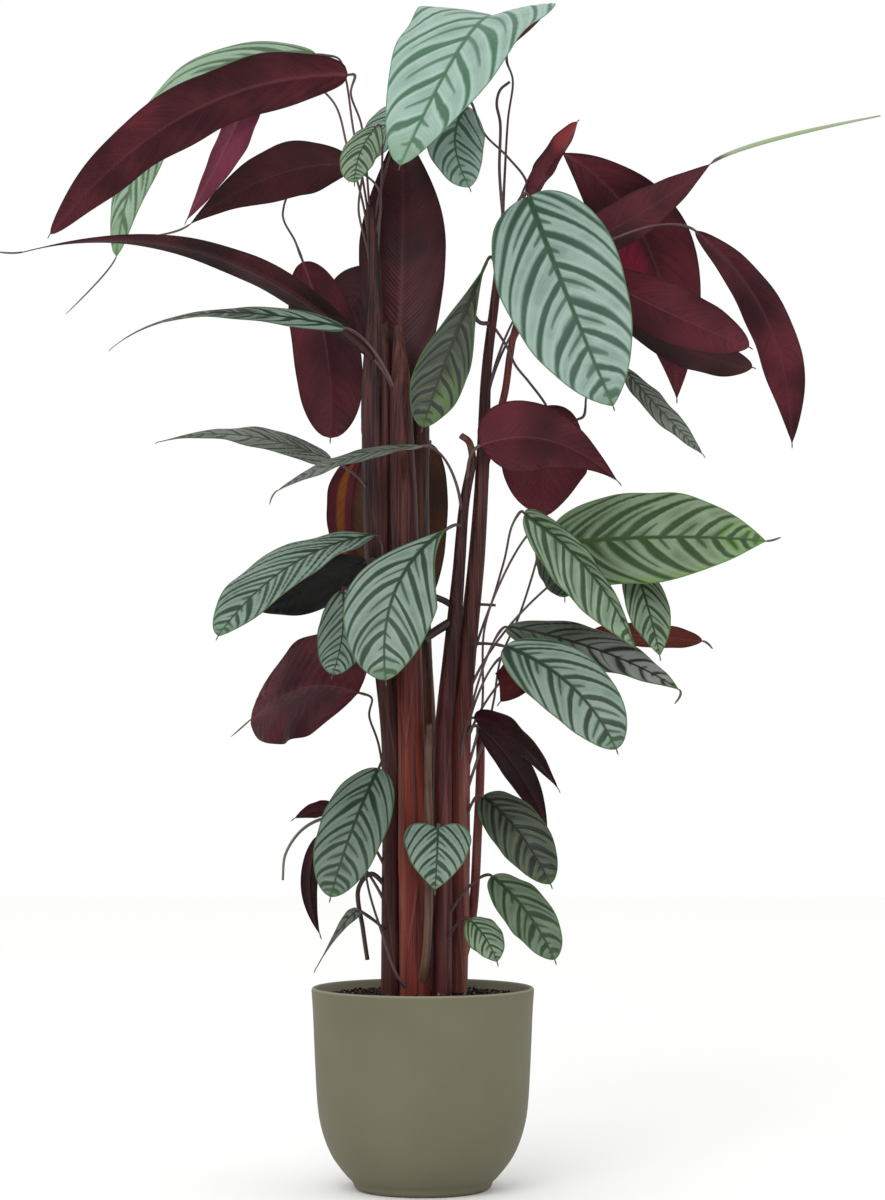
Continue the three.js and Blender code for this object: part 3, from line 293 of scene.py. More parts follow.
    46: grow(((-118, -4, 394), (-128, 0, 339), (-116, 2, 284)), 20, (-0.3, 0.85, 0.2), "cane_left", 290,
        wave=0.02, reach=30, under="wine"),
    47: grow(((-68, -30, 311), (-86, -38, 300), (-118, -46, 250)), 18, (-0.3, -0.7, 0.6), "cane_left", 260,
        peak=0.35, tip=DRAWN, wave=0.02, rise=30, upper="grey", veins=5),
    48: grow(((133, 8, 737), (153, 2, 697), (160, -2, 663)), 50, (-0.3, -0.8, -0.3), "cane_right", 540,
        peak=0.5, tip=BLUNT, wave=0.02, rise=70, reach=30, upper="shade", veins=5),
    49: grow(((8, 62, 842), (4, 82, 760), (2, 80, 660)), 48, (0, 0.9, 0.2), "cane_back", 740, peak=0.5,
        tip=BLUNT, rise=30, under="brown"),
    50: grow(((-26, 32, 1223), (-56, 54, 1193), (-84, 62, 1150)), 52, (-0.3, -0.8, 0.5), "cane_left", 1060,
        rise=60),
    51: grow(((-50, 66, 1042), (-88, 120, 1000), (-112, 170, 920)), 70, (0.2, 0.8, 0.5), "cane_back", 760,
        rise=150, reach=30, under="wine"),
    52: grow(((130, 70, 1010), (190, 190, 1040), (230, 300, 960)), 92, (0, -0.2, 0.95), "cane_right", 860,
        rise=60, reach=50),
    53: grow(((-50, 90, 610), (-100, 190, 600), (-130, 250, 520)), 84, (-0.2, 0.2, 0.95), "cane_back", 500,
        rise=50, reach=40),
}

# Blade surface
BASE_HALF_WIDTH = 1.9 * MM
TIP_HALF_WIDTH = 0.5 * MM
BLADE_ROWS = 68
TAIL_ROWS = 12
HALF_COLUMNS = 13
BLADE_THICKNESS = 0.9 * MM
MARGIN_THICKNESS = 0.4 * MM
FOLD_SOFTNESS = 0.05
DROOP = 0.16
GROOVE_DEPTH = 0.7 * MM
GROOVE_WIDTH = 1.6 * MM
RIB_HEIGHT = 1.1 * MM
RIB_WIDTH = 1.3 * MM
QUILT_HEIGHT = 0.6 * MM
QUILT_BLADE = 70
QUILT_FADES = (4 * MM, 6 * MM)
RUFFLE_HEIGHT = 0.9 * MM
RUFFLE_FADE = 20 * MM
DRIP_LENGTH = 5 * MM
DRIP_HALF_WIDTH = 0.45
DRIP_SAG = 0.3

# Waves of a blade's outline and of its margin: height, pace along the blade, and shift by leaf and by side
OUTLINE_WAVES = ((0.012, 9.3, 1, 0), (0.008, 23.1, 2, 0))
RUFFLE_WAVES = ((1, 17, 1.7, 1.3), (0.6, 29, 0.9, 0))
LEFT_RIPPLE = 2

# Side veins: how they curve and follow the margin, and how much closer they stand near base and tip
VEIN_CURVE = 0.5
VEIN_BEND = 0.06
VEIN_STEPS = 24
BASE_CROWDING = 0.12
TIP_CROWDING = 0.14
MOST_SPACING = 3

# Place of a blade's sides in its bake: edge and width of a strip, foot and length of both
BAKE_STRIP = (0.03, 0.44)
BAKE_RUN = (0.02, 0.96)


def metres(values):
    """Lengths of a table in millimetres, as an array in metres."""
    return np.array(values, float) * MM


def unit(vectors):
    return vectors / np.linalg.norm(vectors, axis=-1, keepdims=True)


def lengths(points):
    """Length of a line from its start to each of its points."""
    return np.concatenate([[0], np.cumsum(np.linalg.norm(np.diff(points, axis=0), axis=1))])


def spread(centre, side, up, over, lift):
    """Rows of points: each row starts from its centre and goes over to the side and up."""
    return centre[:, None, :] + side[:, None, :] * over[..., None] + up[:, None, :] * lift[..., None]


def controls(line):
    """Three control points of a curve that passes through base, middle and tip."""
    base, middle, tip = metres(line)
    return base, 2 * middle - (base + tip) / 2, tip


def bezier(points, t):
    p, q, r = points
    t = np.asarray(t, float)[..., None]
    return (1 - t) ** 2 * p + 2 * t * (1 - t) * q + t * t * r


def slope(points, t):
    p, q, r = points
    t = np.asarray(t, float)[..., None]
    return unit((q - p) * (1 - t) + (r - q) * t)


def outline(leaf, t):
    """Half width of a blade as a share of its widest, from stalk (0) to tip (1)."""
    peak = leaf["peak"]
    s = np.where(t < peak, 1 - t / peak, (t - peak) / (1 - peak)).clip(0, 1)
    a, b = (np.where(t < peak, base, tip) for base, tip in zip(leaf["base"], leaf["tip"]))
    return (1 - s**a) ** b


def blade_frames(leaf, points, t):
    """Forward, sideways and facing directions of a blade's cross rows."""
    ahead = slope(points, t)
    middle = slope(points, 0.5)
    face = np.array(leaf["face"], float)
    face = unit(face - face @ middle * middle)
    across = np.cross(middle, face)
    side = unit(across - (ahead @ across)[:, None] * ahead)
    turn = (leaf["twist"] * (t - 0.5) * 2)[:, None]
    side = side * np.cos(turn) + np.cross(ahead, side) * np.sin(turn)
    return ahead, side, np.cross(side, ahead)


def waves(terms, t, number, left=0):
    """Sum of the waves along a blade, at its places t.  left is 1 on its left half."""
    return sum(high * np.sin(pace * t + turn * number + aside * left) for high, pace, turn, aside in terms)


def vein_start(t, rho, wide, aspect):
    """Where on the midrib the side vein through a point starts, as a share of the blade's length."""
    out = rho * wide
    forward = aspect * (out + VEIN_CURVE * out**2.5) + VEIN_BEND * rho**5
    start = t - forward
    for _ in range(VEIN_STEPS):
        start = 0.5 * (start + t - forward * (1 - start.clip(0, 1) ** 5))
    return start


def vein_phase(start):
    """Share of the side veins that start below a place on the midrib."""
    crowded = BASE_CROWDING * np.tanh(4 * start) + TIP_CROWDING * start.clip(0, 1) ** 6
    return (start + crowded) / (1 + BASE_CROWDING + TIP_CROWDING)


def vein_spacing(grid, phase):
    """Distance square to the side veins from one to the next, in metres."""
    down, over = np.gradient(grid, axis=0), np.gradient(grid, axis=1)
    p, q = np.gradient(phase, axis=0), np.gradient(phase, axis=1)
    e, f, g = (down * down).sum(-1), (down * over).sum(-1), (over * over).sum(-1)
    steep = (p * p * g - 2 * p * q * f + q * q * e) / (e * g - f * f)
    return 1 / np.sqrt(steep)


def blade_surface(leaf, number):
    """Middle surface of a blade with its tail, and what the materials need at each point."""
    points = controls(leaf["line"])
    even = np.linspace(0, 1, BLADE_ROWS)
    t = 0.6 * even + 0.4 * (0.5 - 0.5 * np.cos(np.pi * even))
    r = np.sin(np.linspace(-0.5, 0.5, 2 * HALF_COLUMNS + 1) * np.pi)
    ahead, side, face = blade_frames(leaf, points, t)
    narrowest = BASE_HALF_WIDTH + (TIP_HALF_WIDTH - BASE_HALF_WIDTH) * t
    shake = 1 + waves(OUTLINE_WAVES, t, number)
    half = np.maximum(narrowest, 0.5 * leaf["width"] * MM * outline(leaf, t) * shake)
    centre = bezier(points, t)

    rho = np.abs(r)[None, :]
    left = (r < 0)[None, :]
    along = t[:, None]
    wide = half[:, None]
    across = wide * rho
    soft = np.sqrt(rho**2 + FOLD_SOFTNESS**2) - FOLD_SOFTNESS
    ripple = np.sin(2 * np.pi * leaf["waves"] * along + LEFT_RIPPLE * left)
    lift = wide * (leaf["cup"] * soft - DROOP * rho**2 + leaf["wave"] * rho**2 * ripple)
    length = np.linalg.norm(np.diff(centre, axis=0), axis=1).sum()
    aspect = leaf["sweep"] * half.max() / length
    phase = leaf["veins"] * vein_phase(vein_start(along, rho, wide / wide.max(), aspect))
    from_margin, from_midrib = QUILT_FADES
    fade = np.minimum(1, wide * (1 - rho) / from_margin) * np.minimum(1, across / from_midrib)
    quilt = QUILT_HEIGHT * min(1, leaf["width"] / QUILT_BLADE) ** 2
    lift = lift - quilt * np.cos(4 * np.pi * phase) * fade
    lift = lift - GROOVE_DEPTH * np.exp(-((across / GROOVE_WIDTH) ** 2)) * (1 - 0.6 * along)
    ruffle = waves(RUFFLE_WAVES, along, number, left)
    lift = lift + RUFFLE_HEIGHT * ruffle * rho**5 * np.minimum(1, wide / RUFFLE_FADE)
    back = (wide - narrowest[:, None]) * leaf["lobe"] * rho**3 * (1 - along) ** 3
    grid = spread(centre, side, face, wide * r, lift) - ahead[:, None, :] * back[..., None]
    period = length / leaf["veins"]
    spacing = np.minimum(vein_spacing(grid, phase) / period, MOST_SPACING) / leaf["bold"]
    surface = {"grid": grid, "t": t, "half": half, "phase": phase, "spacing": spacing}
    return {**add_tail(leaf, points, surface, r, face[-1]), "r": r, "period": period}


def add_tail(leaf, points, surface, r, face):
    """The surface with the rows of the withered strip or short drip point that runs on from its tip."""
    onward = slope(points, 1.0)
    if leaf["tail"]:
        end = metres(leaf["tail"])
        thick = leaf["tail_half"] * MM
    else:
        end = points[2] + (onward - (0, 0, DRIP_SAG)) * DRIP_LENGTH
        thick = DRIP_HALF_WIDTH * MM
    run = np.linalg.norm(end - points[2])
    trail = (points[2], points[2] + onward * leaf["lead"] * run, end)
    s = np.linspace(0, 1, TAIL_ROWS + 1)[1:]
    ahead = slope(trail, s)
    up = unit(face - (ahead @ face)[:, None] * ahead)
    width = thick * (0.75 + 0.35 * np.sin(np.pi * s) - 0.45 * s**6)
    wide = width[:, None]
    added = {
        "grid": spread(bezier(trail, s), np.cross(ahead, up), up, wide * r, wide * 0.5 * r**2),
        "t": 1 + s * run / np.linalg.norm(points[2] - points[0]),
        "half": width,
        "phase": np.repeat(surface["phase"][-1:], TAIL_ROWS, axis=0),
        "spacing": np.repeat(surface["spacing"][-1:], TAIL_ROWS, axis=0),
    }
    return {key: np.concatenate([surface[key], added[key]]) for key in added}


def sheet_faces(rows, columns):
    """Quads of a closed sheet: upper grid, lower grid and the rim strip round them."""
    i, j = np.meshgrid(np.arange(rows - 1), np.arange(columns - 1), indexing="ij")
    a = (i * columns + j).ravel()
    b, c, d = a + 1, a + columns, a + columns + 1
    under = rows * columns
    upper = np.stack([a, b, d, c], 1)
    lower = np.stack([a, c, d, b], 1) + under
    left = np.arange(rows - 1) * columns
    first = np.arange(columns - 1)
    right, last = left + columns - 1, first + (rows - 1) * columns
    rim = [
        [left, left + columns, left + columns + under, left + under],
        [right, right + under, right + columns + under, right + columns],
        [first, first + under, first + 1 + under, first + 1],
        [last, last + 1, last + 1 + under, last + under],
    ]
    return upper, lower, np.concatenate([np.stack(corners, 1) for corners in rim])


def new_mesh(name, vertices, faces, materials=None, smooth=True):
    """A mesh of plain lists, with a material number for each face where materials are given."""
    mesh = bpy.data.meshes.new(name)
    mesh.from_pydata(vertices, [], faces)
    mesh.polygons.foreach_set("use_smooth", np.full(len(faces), smooth))
    if materials is not None:
        mesh.polygons.foreach_set("material_index", np.array(materials, np.int32))
    return mesh


def set_map(mesh, name, values):
    layer = mesh.uv_layers.new(name=name, do_init=False)
    layer.uv.foreach_set("vector", np.asarray(values, np.float32).ravel())


def blade(name, leaf, number):
    """Closed blade of one leaf, with its pattern coordinates as maps."""
    surface = blade_surface(leaf, number)
    grid, t, r, half = (surface[key] for key in ("grid", "t", "r", "half"))
    rows, columns = grid.shape[:2]
    rho = np.abs(r)[None, :]
    across = half[:, None] * rho
    thick = 0.5 * (BLADE_THICKNESS + (MARGIN_THICKNESS - BLADE_THICKNESS) * rho**3)
    thick = np.minimum(thick, 0.25 * half[:, None] + 0.1 * MM)[..., None]
    fade = (1 - 0.75 * t).clip(0, 1)[:, None, None]
    rib = RIB_HEIGHT * fade * np.exp(-((across / RIB_WIDTH) ** 2))[..., None]
    normals = unit(np.cross(np.gradient(grid, axis=1), np.gradient(grid, axis=0)))
    vertices = np.concatenate([grid + normals * thick, grid - normals * (thick + rib)])
    upper, lower, rim = sheet_faces(rows, columns)
    faces = np.concatenate([upper, lower, rim])
    below = np.ones(len(faces), np.int32)
    below[: len(upper)] = 0
    mesh = new_mesh(name, vertices.reshape(-1, 3).tolist(), faces.tolist(), below)

    corner = faces.ravel() % (rows * columns)
    row, column = corner // columns, corner % columns
    left_face = np.repeat((faces % columns).min(1) < HALF_COLUMNS, 4)
    phase = surface["phase"][row, column] + np.where(left_face, 0.5, 0) + 10 * number
    share = 0.5 + 0.5 * r[column]
    edge, width = BAKE_STRIP
    foot, run = BAKE_RUN
    maps = {
        "blade": (share, t[row]),
        "veins": (phase, surface["spacing"][row, column]),
        "rims": (across[row, column] / surface["period"], (half[row] - across[row, column]) / MM),
        "OFBake": (edge + width * share + 0.5 * np.repeat(below, 4), foot + run * t[row] / t[-1]),
    }
    for label, places in maps.items():
        set_map(mesh, label, np.stack(places, 1))
    mesh.update()
    return mesh


def catmull_rom(stations, count):
    """Evenly counted points of a centripetal Catmull-Rom curve through the stations."""
    at = np.array(stations, float)
    ends = [2 * at[0] - at[1], *at, 2 * at[-1] - at[-2]]
    found = []
    for u in np.linspace(0, len(at) - 1, count):
        k = min(int(u), len(at) - 2)
        w = u - k
        p0, p1, p2, p3 = ends[k : k + 4]
        d0, d1, d2 = (max(np.linalg.norm(b - a), 1e-8) ** 0.5 for a, b in ((p0, p1), (p1, p2), (p2, p3)))
        m1 = ((p1 - p0) / d0 - (p2 - p0) / (d0 + d1) + (p2 - p1) / d1) * d1
        m2 = ((p2 - p1) / d1 - (p3 - p1) / (d1 + d2) + (p3 - p2) / d2) * d1
        bend = (-3 * p1 + 3 * p2 - 2 * m1 - m2) * w**2 + (2 * p1 - 2 * p2 + m1 + m2) * w**3
        found.append(p1 + m1 * w + bend)
    return np.array(found)


def cubic(p, q, r, s, count):
    t = np.linspace(0, 1, count)[:, None]
    return (1 - t) ** 3 * p + 3 * t * (1 - t) ** 2 * q + 3 * t * t * (1 - t) * r + t**3 * s


class Tubes:
    """Gathers round rods into one mesh, each with a material number."""

    def __init__(self):
        self.vertices = []
        self.faces = []
        self.materials = []
        self.turns = []

    def add(self, points, radii, sides, material, shape=None):
        """A closed rod along points.  shape gives the radius's share at (turn, length)."""
        length = lengths(points)
        ahead = unit(np.gradient(points, axis=0))
        across = np.empty_like(points)
        direction = np.array([1.0, 0.0, 0.0])
        for i, forward in enumerate(ahead):
            direction = unit(direction - direction @ forward * forward)
            across[i] = direction
        turn = np.arange(sides) / sides
        size = np.asarray(radii)[:, None] * np.ones(sides)
        if shape is not None:
            size = size * shape(turn[None, :], length[:, None])
        over, up = (size * wave(2 * np.pi * turn) for wave in (np.cos, np.sin))
        vertices = spread(points, across, np.cross(ahead, across), over, up).reshape(-1, 3)
        i, j = np.meshgrid(np.arange(len(points) - 1), np.arange(sides), indexing="ij")
        a, b = (i * sides + j).ravel(), (i * sides + (j + 1) % sides).ravel()
        quads = np.stack([a, b, b + sides, a + sides], 1)
        bottom = np.arange(sides)[::-1]
        top = np.arange(len(vertices) - sides, len(vertices))
        first = len(self.vertices)
        self.faces.extend([*(quads + first).tolist(), (bottom + first).tolist(), (top + first).tolist()])
        u = np.stack([j, j + 1, j + 1, j], -1) / sides
        v = np.stack([length[i], length[i], length[i + 1], length[i + 1]], -1)
        self.turns.extend(np.stack([u, v], -1).reshape(-1, 2).tolist())
        self.turns.extend([[k / sides, 0] for k in reversed(range(sides))])
        self.turns.extend([[k / sides, length[-1]] for k in range(sides)])
        self.vertices.extend(vertices.tolist())
        self.materials.extend([material] * (len(quads) + 2))

    def mesh(self, name):
        mesh = new_mesh(name, self.vertices, self.faces, self.materials)
        set_map(mesh, "round", self.turns)
        mesh.update()
        return mesh


# Stems
CANE_SIDES = 48
CANE_ROW = 5 * MM
SHEATH_LENGTH = 230 * MM
SHEATH_SLANT = 1.3
SHEATH_TURN = 0.31
SHEATH_SHIFT = 0.37
SHEATH_STEP = 0.06
FULL_HEIGHTS = (220 * MM, 500 * MM, 720 * MM)
CANE_FULLNESS = (1.1, 1.13, 1.26)
SHOOT_SIDES = 20
SHOOT_TAPER = 0.12
PALE_TAPER = 0.45
STALK_RADIUS = 1.4 * MM
STALK_SIDES = 12
STALK_ROWS = 44
STALK_SHARE = 0.92
FOOT_SWELL = 0.9
FOOT_LENGTH = 45 * MM
JOIN_GAP = 0.4 * MM
JOIN_LENGTH = 4 * MM
PULVINUS_LENGTH = 14 * MM
PULVINUS_SWELL = 0.3
CANE_BODY, STALK, DRY, TAN, PALE = range(5)
SHOOT_SKINS = {
    "shoot_cut": DRY, "shoot_dry": PALE, "shoot_front": TAN,
    "shoot_low": DRY, "shoot_mid": DRY, "shoot_twig": DRY,
}


def cane_line(cane):
    """Dense centre line of a cane, and its radius along it."""
    at = metres(cane["at"])
    count = int(lengths(at)[-1] / CANE_ROW)
    stations = np.linspace(0, len(at) - 1, count)
    return catmull_rom(at, count), np.interp(stations, np.arange(len(at)), metres(cane["radius"]))


def point_at(points, height):
    """Point and direction of a centre line at a height."""
    z = points[:, 2]
    k = int(np.clip(np.searchsorted(z, height), 1, len(z) - 1))
    w = np.clip((height - z[k - 1]) / (z[k] - z[k - 1]), 0, 1)
    return points[k - 1] * (1 - w) + points[k] * w, unit(points[k] - points[k - 1])


def stalk_line(leaf, support):
    """Centre line of a leaf stalk, from inside its cane to just inside its blade."""
    base, bend, _ = controls(leaf["line"])
    ahead = unit(bend - base)
    start, up = point_at(support, leaf["foot"] * MM)
    end = base - ahead * JOIN_GAP
    reach = end - ahead * leaf["reach"] * MM
    if leaf["via"]:
        line = catmull_rom([start, *metres(leaf["via"]), reach, end], STALK_ROWS + 12 * len(leaf["via"]))
    else:
        line = cubic(start, start + up * leaf["rise"] * MM, reach, end, STALK_ROWS)
    return np.concatenate([line, [end + ahead * JOIN_LENGTH]])


def stalk_radii(line):
    """A stalk widens into its sheath at the foot, and swells just under its blade."""
    length = lengths(line)
    left = length[-1] - length
    foot = FOOT_SWELL * np.exp(-length / FOOT_LENGTH)
    swell = PULVINUS_SWELL * np.exp(-(((left - PULVINUS_LENGTH) / (0.6 * PULVINUS_LENGTH)) ** 2))
    radii = STALK_RADIUS * (STALK_SHARE + foot + swell)
    radii[-1] = 0.7 * STALK_RADIUS
    return radii


def sheaths(seed):
    """Radius share of a cane wrapped in long sheaths, whose free edges run steeply round it."""

    def shape(turn, length):
        steep = 2 * SHEATH_SLANT * np.abs((turn + SHEATH_TURN * seed) % 1 - 0.5)
        up = (length / SHEATH_LENGTH + SHEATH_SHIFT * seed + steep) % 1
        ribs = 0.01 * np.cos(2 * np.pi * 11 * turn + seed)
        return 1 + SHEATH_STEP * (0.5 - up) + ribs + 0.008 * np.cos(2 * np.pi * 5 * turn + 9 * length)

    return shape


def stems(name, number):
    """One cane with the stalks and side shoots that grow from it."""
    tubes = Tubes()
    points, radii = cane_line(CANES[name])
    full = np.interp(points[:, 2], FULL_HEIGHTS, CANE_FULLNESS)
    tubes.add(points, full * radii, CANE_SIDES, CANE_BODY, sheaths(number))
    lines = {name: points}
    for shoot_name, shoot in SHOOTS.items():
        if shoot["cane"] == name:
            line = catmull_rom(metres(shoot["at"]), 10 * len(shoot["at"]))
            lines[shoot_name] = line
            size = shoot["radius"] * MM
            material = SHOOT_SKINS.get(shoot_name, STALK if shoot["radius"] < 3 else CANE_BODY)
            taper = 1 - (PALE_TAPER if material == PALE else SHOOT_TAPER) * np.linspace(0, 1, len(line))
            tubes.add(line, size * taper, SHOOT_SIDES if size > STALK_RADIUS else STALK_SIDES, material)
    for leaf in LEAVES.values():
        if leaf["cane"] in lines:
            line = stalk_line(leaf, lines[leaf["cane"]])
            tubes.add(line, stalk_radii(line), STALK_SIDES, STALK)
    return tubes.mesh(name)


# Pot and soil, in millimetres: heights and radii of the pot's outside and rim
POT_OUTSIDE = (
    (0, 72), (3, 76.5), (9, 79), (15, 85), (36, 101), (56, 110), (76, 115.5), (97, 118.3),
    (150, 121.3), (200, 123.5), (221, 125),
)
POT_RIM = (POT_OUTSIDE[-1], (223.6, 124.6), (225, 122.5), (223.8, 120.8), (221, 120))
POT_WALL = 5
POT_FLOOR = 12
FLOOR_RADIUS = 76
POT_SIDES = 160
OUTSIDE_ROWS = 60
RIM_ROWS = 20
SHARP_DEGREES = 50
SOIL_TOP = 217
SOIL_RADIUS = 119.4
SOIL_CROWN = 80
SOIL_DROP = 3
SOIL_CLEARANCE = 0.35
SOIL_RINGS = 70
CRUMBS = 900
CRUMB_SIZES = (0.7, 2.4)
CRUMB_SEED = 11
CRUMB_EDGE = 0.97
SPECK_SHARE = 0.2

# Lumps of the potting mix: height in millimetres, how many to the metre, and the slice of noise
LUMPS = ((1.5, 60, 0.3), (1.1, 260, 4.1))


def lathe(profile, sides):
    """Vertices and faces of a closed body turned round Z.  The profile starts and ends on the axis."""
    inner = profile[1:-1]
    angles = 2 * np.pi * np.arange(sides) / sides
    vertices = [[r * x, r * y, z] for r, z in inner for x, y in zip(np.cos(angles), np.sin(angles))]
    low, high, last = len(vertices), len(vertices) + 1, len(vertices) - sides
    vertices.extend([[0, 0, profile[0][1]], [0, 0, profile[-1][1]]])
    faces = []
    for i in range(len(inner) - 1):
        for j in range(sides):
            a, b = i * sides + j, i * sides + (j + 1) % sides
            faces.append([a, b, b + sides, a + sides])
    for j in range(sides):
        k = (j + 1) % sides
        faces.extend([[k, j, low], [last + j, last + k, high]])
    return vertices, faces


def curved(stations, count):
    """Radius and height along a smooth curve through stations of height and radius."""
    return catmull_rom([(r, z, 0) for z, r in stations], count)[:, :2].tolist()


def inside_wall(inset):
    """Radius and height up the inside of the pot's wall, from its floor to the top of its soil."""
    return [(r - inset, z) for z, r in POT_OUTSIDE if POT_FLOOR < z < SOIL_TOP]


def pot_mesh():
    outside, rim = curved(POT_OUTSIDE, OUTSIDE_ROWS), curved(POT_RIM, RIM_ROWS)[1:]
    floor = [(FLOOR_RADIUS, POT_FLOOR), (0, POT_FLOOR)]
    profile = [(0, 0), *outside, *rim, *reversed(inside_wall(POT_WALL)), *floor]
    mesh = new_mesh("pot_shell", *lathe([(r * MM, z * MM) for r, z in profile], POT_SIDES))
    mesh.set_sharp_from_angle(angle=math.radians(SHARP_DEGREES))
    return mesh


def rough_height(x, y):
    """Height of the potting mix's lumps above its smooth crown, in metres."""
    return sum(high * noise.noise(Vector((x * pace, y * pace, z))) for high, pace, z in LUMPS) * MM


def crown_height(radius):
    """Height of the potting mix's smooth crown at a distance from its middle, in metres."""
    outer = (radius / MM - SOIL_CROWN) / (SOIL_RADIUS - SOIL_CROWN)
    return (SOIL_TOP - SOIL_DROP * min(1, max(0, outer))) * MM


def crumb(at, size, rng):
    """A jittered eight-sided grain of potting mix."""
    corners = np.array([(1, 0, 0), (-1, 0, 0), (0, 1, 0), (0, -1, 0), (0, 0, 1), (0, 0, -1)], float)
    corners = corners * rng.uniform(0.6, 1.25, (6, 1)) + rng.uniform(-0.25, 0.25, (6, 3))
    faces = [(0, 2, 4), (2, 1, 4), (1, 3, 4), (3, 0, 4), (2, 0, 5), (1, 2, 5), (3, 1, 5), (0, 3, 5)]
    return corners * size + at, faces


def soil_mesh():
    bottom = POT_FLOOR + SOIL_CLEARANCE
    edge = (SOIL_RADIUS - SOIL_CLEARANCE) * MM
    wall = inside_wall(POT_WALL + SOIL_CLEARANCE)
    low = [(r * MM, z * MM) for r, z in ((0, bottom), (FLOOR_RADIUS - SOIL_CLEARANCE, bottom), *wall)]
    top = [(radius, crown_height(radius)) for radius in np.linspace(edge, 0, SOIL_RINGS)]
    vertices, faces = lathe([*low, *top], POT_SIDES)
    for vertex in vertices:
        x, y, z = vertex
        if z > (SOIL_TOP - SOIL_DROP - 1) * MM and math.hypot(x, y) < edge - 1e-4:
            vertex[2] += rough_height(x, y)
    materials = [0] * len(faces)
    rng = np.random.default_rng(CRUMB_SEED)
    for _ in range(CRUMBS):
        radius = edge * CRUMB_EDGE * math.sqrt(rng.random())
        angle = 2 * math.pi * rng.random()
        x, y = radius * math.cos(angle), radius * math.sin(angle)
        size = rng.uniform(*CRUMB_SIZES) * MM
        at = np.array([x, y, crown_height(radius) + rough_height(x, y) + 0.2 * size])
        points, sides = crumb(at, size, rng)
        first = len(vertices)
        vertices.extend(points.tolist())
        faces.extend([[first + k for k in face] for face in sides])
        materials.extend([1 if rng.random() < SPECK_SHARE else 0] * len(sides))
    return new_mesh("potting_mix", vertices, faces, materials, smooth=False)


# How strongly the studio lights a surface, and how much of that is glare off its skin
LIGHT = 1.25
GLARE = 0.012


def linear(colour):
    """An sRGB colour from 0 to 255, as it looks in the studio, as the base colour that a shader takes."""
    share = [c / 255 for c in colour]
    seen = [s / 12.92 if s <= 0.04045 else ((s + 0.055) / 1.055) ** 2.4 for s in share]
    return (*[max(0.001, (s - GLARE) / LIGHT) for s in seen], 1)


def tones(colours):
    """Several colours as the shader takes them."""
    return [linear(colour) for colour in colours]


class Nodes:
    """Short calls that build one material's nodes."""

    def __init__(self, name):
        self.material = bpy.data.materials.new(name)
        self.material.use_nodes = True
        self.tree = self.material.node_tree
        self.shader = self.tree.nodes["Principled BSDF"]

    def put(self, value, socket):
        if isinstance(value, bpy.types.NodeSocket):
            self.tree.links.new(value, socket)
        else:
            socket.default_value = value

    def add(self, kind, inputs=(), **settings):
        """A node with these settings, and a value or a link for each of the inputs that are named."""
        node = self.tree.nodes.new(kind)
        for setting, value in settings.items():
            setattr(node, setting, value)
        for socket, value in dict(inputs).items():
            self.put(value, node.inputs[socket])
        return node

    def math(self, operation, *values, clamp=False):
        node = self.add("ShaderNodeMath", enumerate(values), operation=operation, use_clamp=clamp)
        return node.outputs[0]

    def plus(self, a, b):
        return self.math("ADD", a, b)

    def times(self, a, b):
        return self.math("MULTIPLY", a, b)

    def line(self, value, factor, start):
        """The value times factor, plus start."""
        return self.math("MULTIPLY_ADD", value, factor, start)

    def smooth(self, value, low, high):
        """0 below low and 1 above high, or the other way round where low is the larger."""
        inputs = {"Value": value, "From Min": low, "From Max": high}
        return self.add("ShaderNodeMapRange", inputs, interpolation_type="SMOOTHSTEP").outputs["Result"]

    def mix(self, share, a, b):
        return self.add("ShaderNodeMix", {0: share, 6: a, 7: b}, data_type="RGBA").outputs[2]

    def tint(self, colour, tone, share, most):
        """The colour with a tone mixed in, by most where share is 1."""
        return self.mix(self.times(share, most), colour, tone)

    def map(self, name):
        where = self.add("ShaderNodeUVMap", uv_map=name).outputs[0]
        parts = self.add("ShaderNodeSeparateXYZ", {0: where})
        return parts.outputs[0], parts.outputs[1]

    def place(self, scale=(1, 1, 1)):
        """The object's own coordinates in metres, stretched by scale."""
        where = self.add("ShaderNodeTexCoord").outputs["Object"]
        return self.add("ShaderNodeMapping", {"Vector": where, "Scale": scale}).outputs[0]

    def far(self, scale):
        """Distance from the object's origin, counted along the axes that scale leaves."""
        node = self.add("ShaderNodeVectorMath", {0: self.place(scale)}, operation="LENGTH")
        return node.outputs["Value"]

    def noise(self, vector, scale, detail, roughness=0.5):
        inputs = {"Vector": vector, "Scale": scale, "Detail": detail, "Roughness": roughness}
        return self.add("ShaderNodeTexNoise", inputs).outputs["Fac"]

    def grain(self, scale, detail=2.0):
        """Noise that fills the object's own space."""
        return self.noise(self.place(), scale, detail)

    def flat_noise(self, x, y, scale=1.0, detail=1.0):
        return self.noise(self.add("ShaderNodeCombineXYZ", {0: x, 1: y}).outputs[0], scale, detail)

    def finish(self, colour, roughness, shine, height=None, distance=None):
        """The material, with its relief: a height from 0 to 1 and the distance that 1 stands for."""
        values = {"Base Color": colour, "Roughness": roughness, "Specular IOR Level": shine}
        if height is not None:
            relief = {"Height": height, "Distance": distance, "Strength": 1.0}
            values["Normal"] = self.add("ShaderNodeBump", relief).outputs["Normal"]
        for name, value in values.items():
            self.put(value, self.shader.inputs[name])
        return self.material


# Stripes, as shares of the distance between side veins: width, most width where veins crowd, soft edge
STRIPE_WIDTH = 0.086
MOST_STRIPE = 0.17
SOFT_EDGE = 0.034
VEINLETS = 9


def line_distance(nodes, phase):
    """Distance of a phase from the nearest whole number."""
    shifted = nodes.math("FRACT", nodes.plus(phase, 0.5))
    return nodes.math("ABSOLUTE", nodes.math("SUBTRACT", shifted, 0.5))


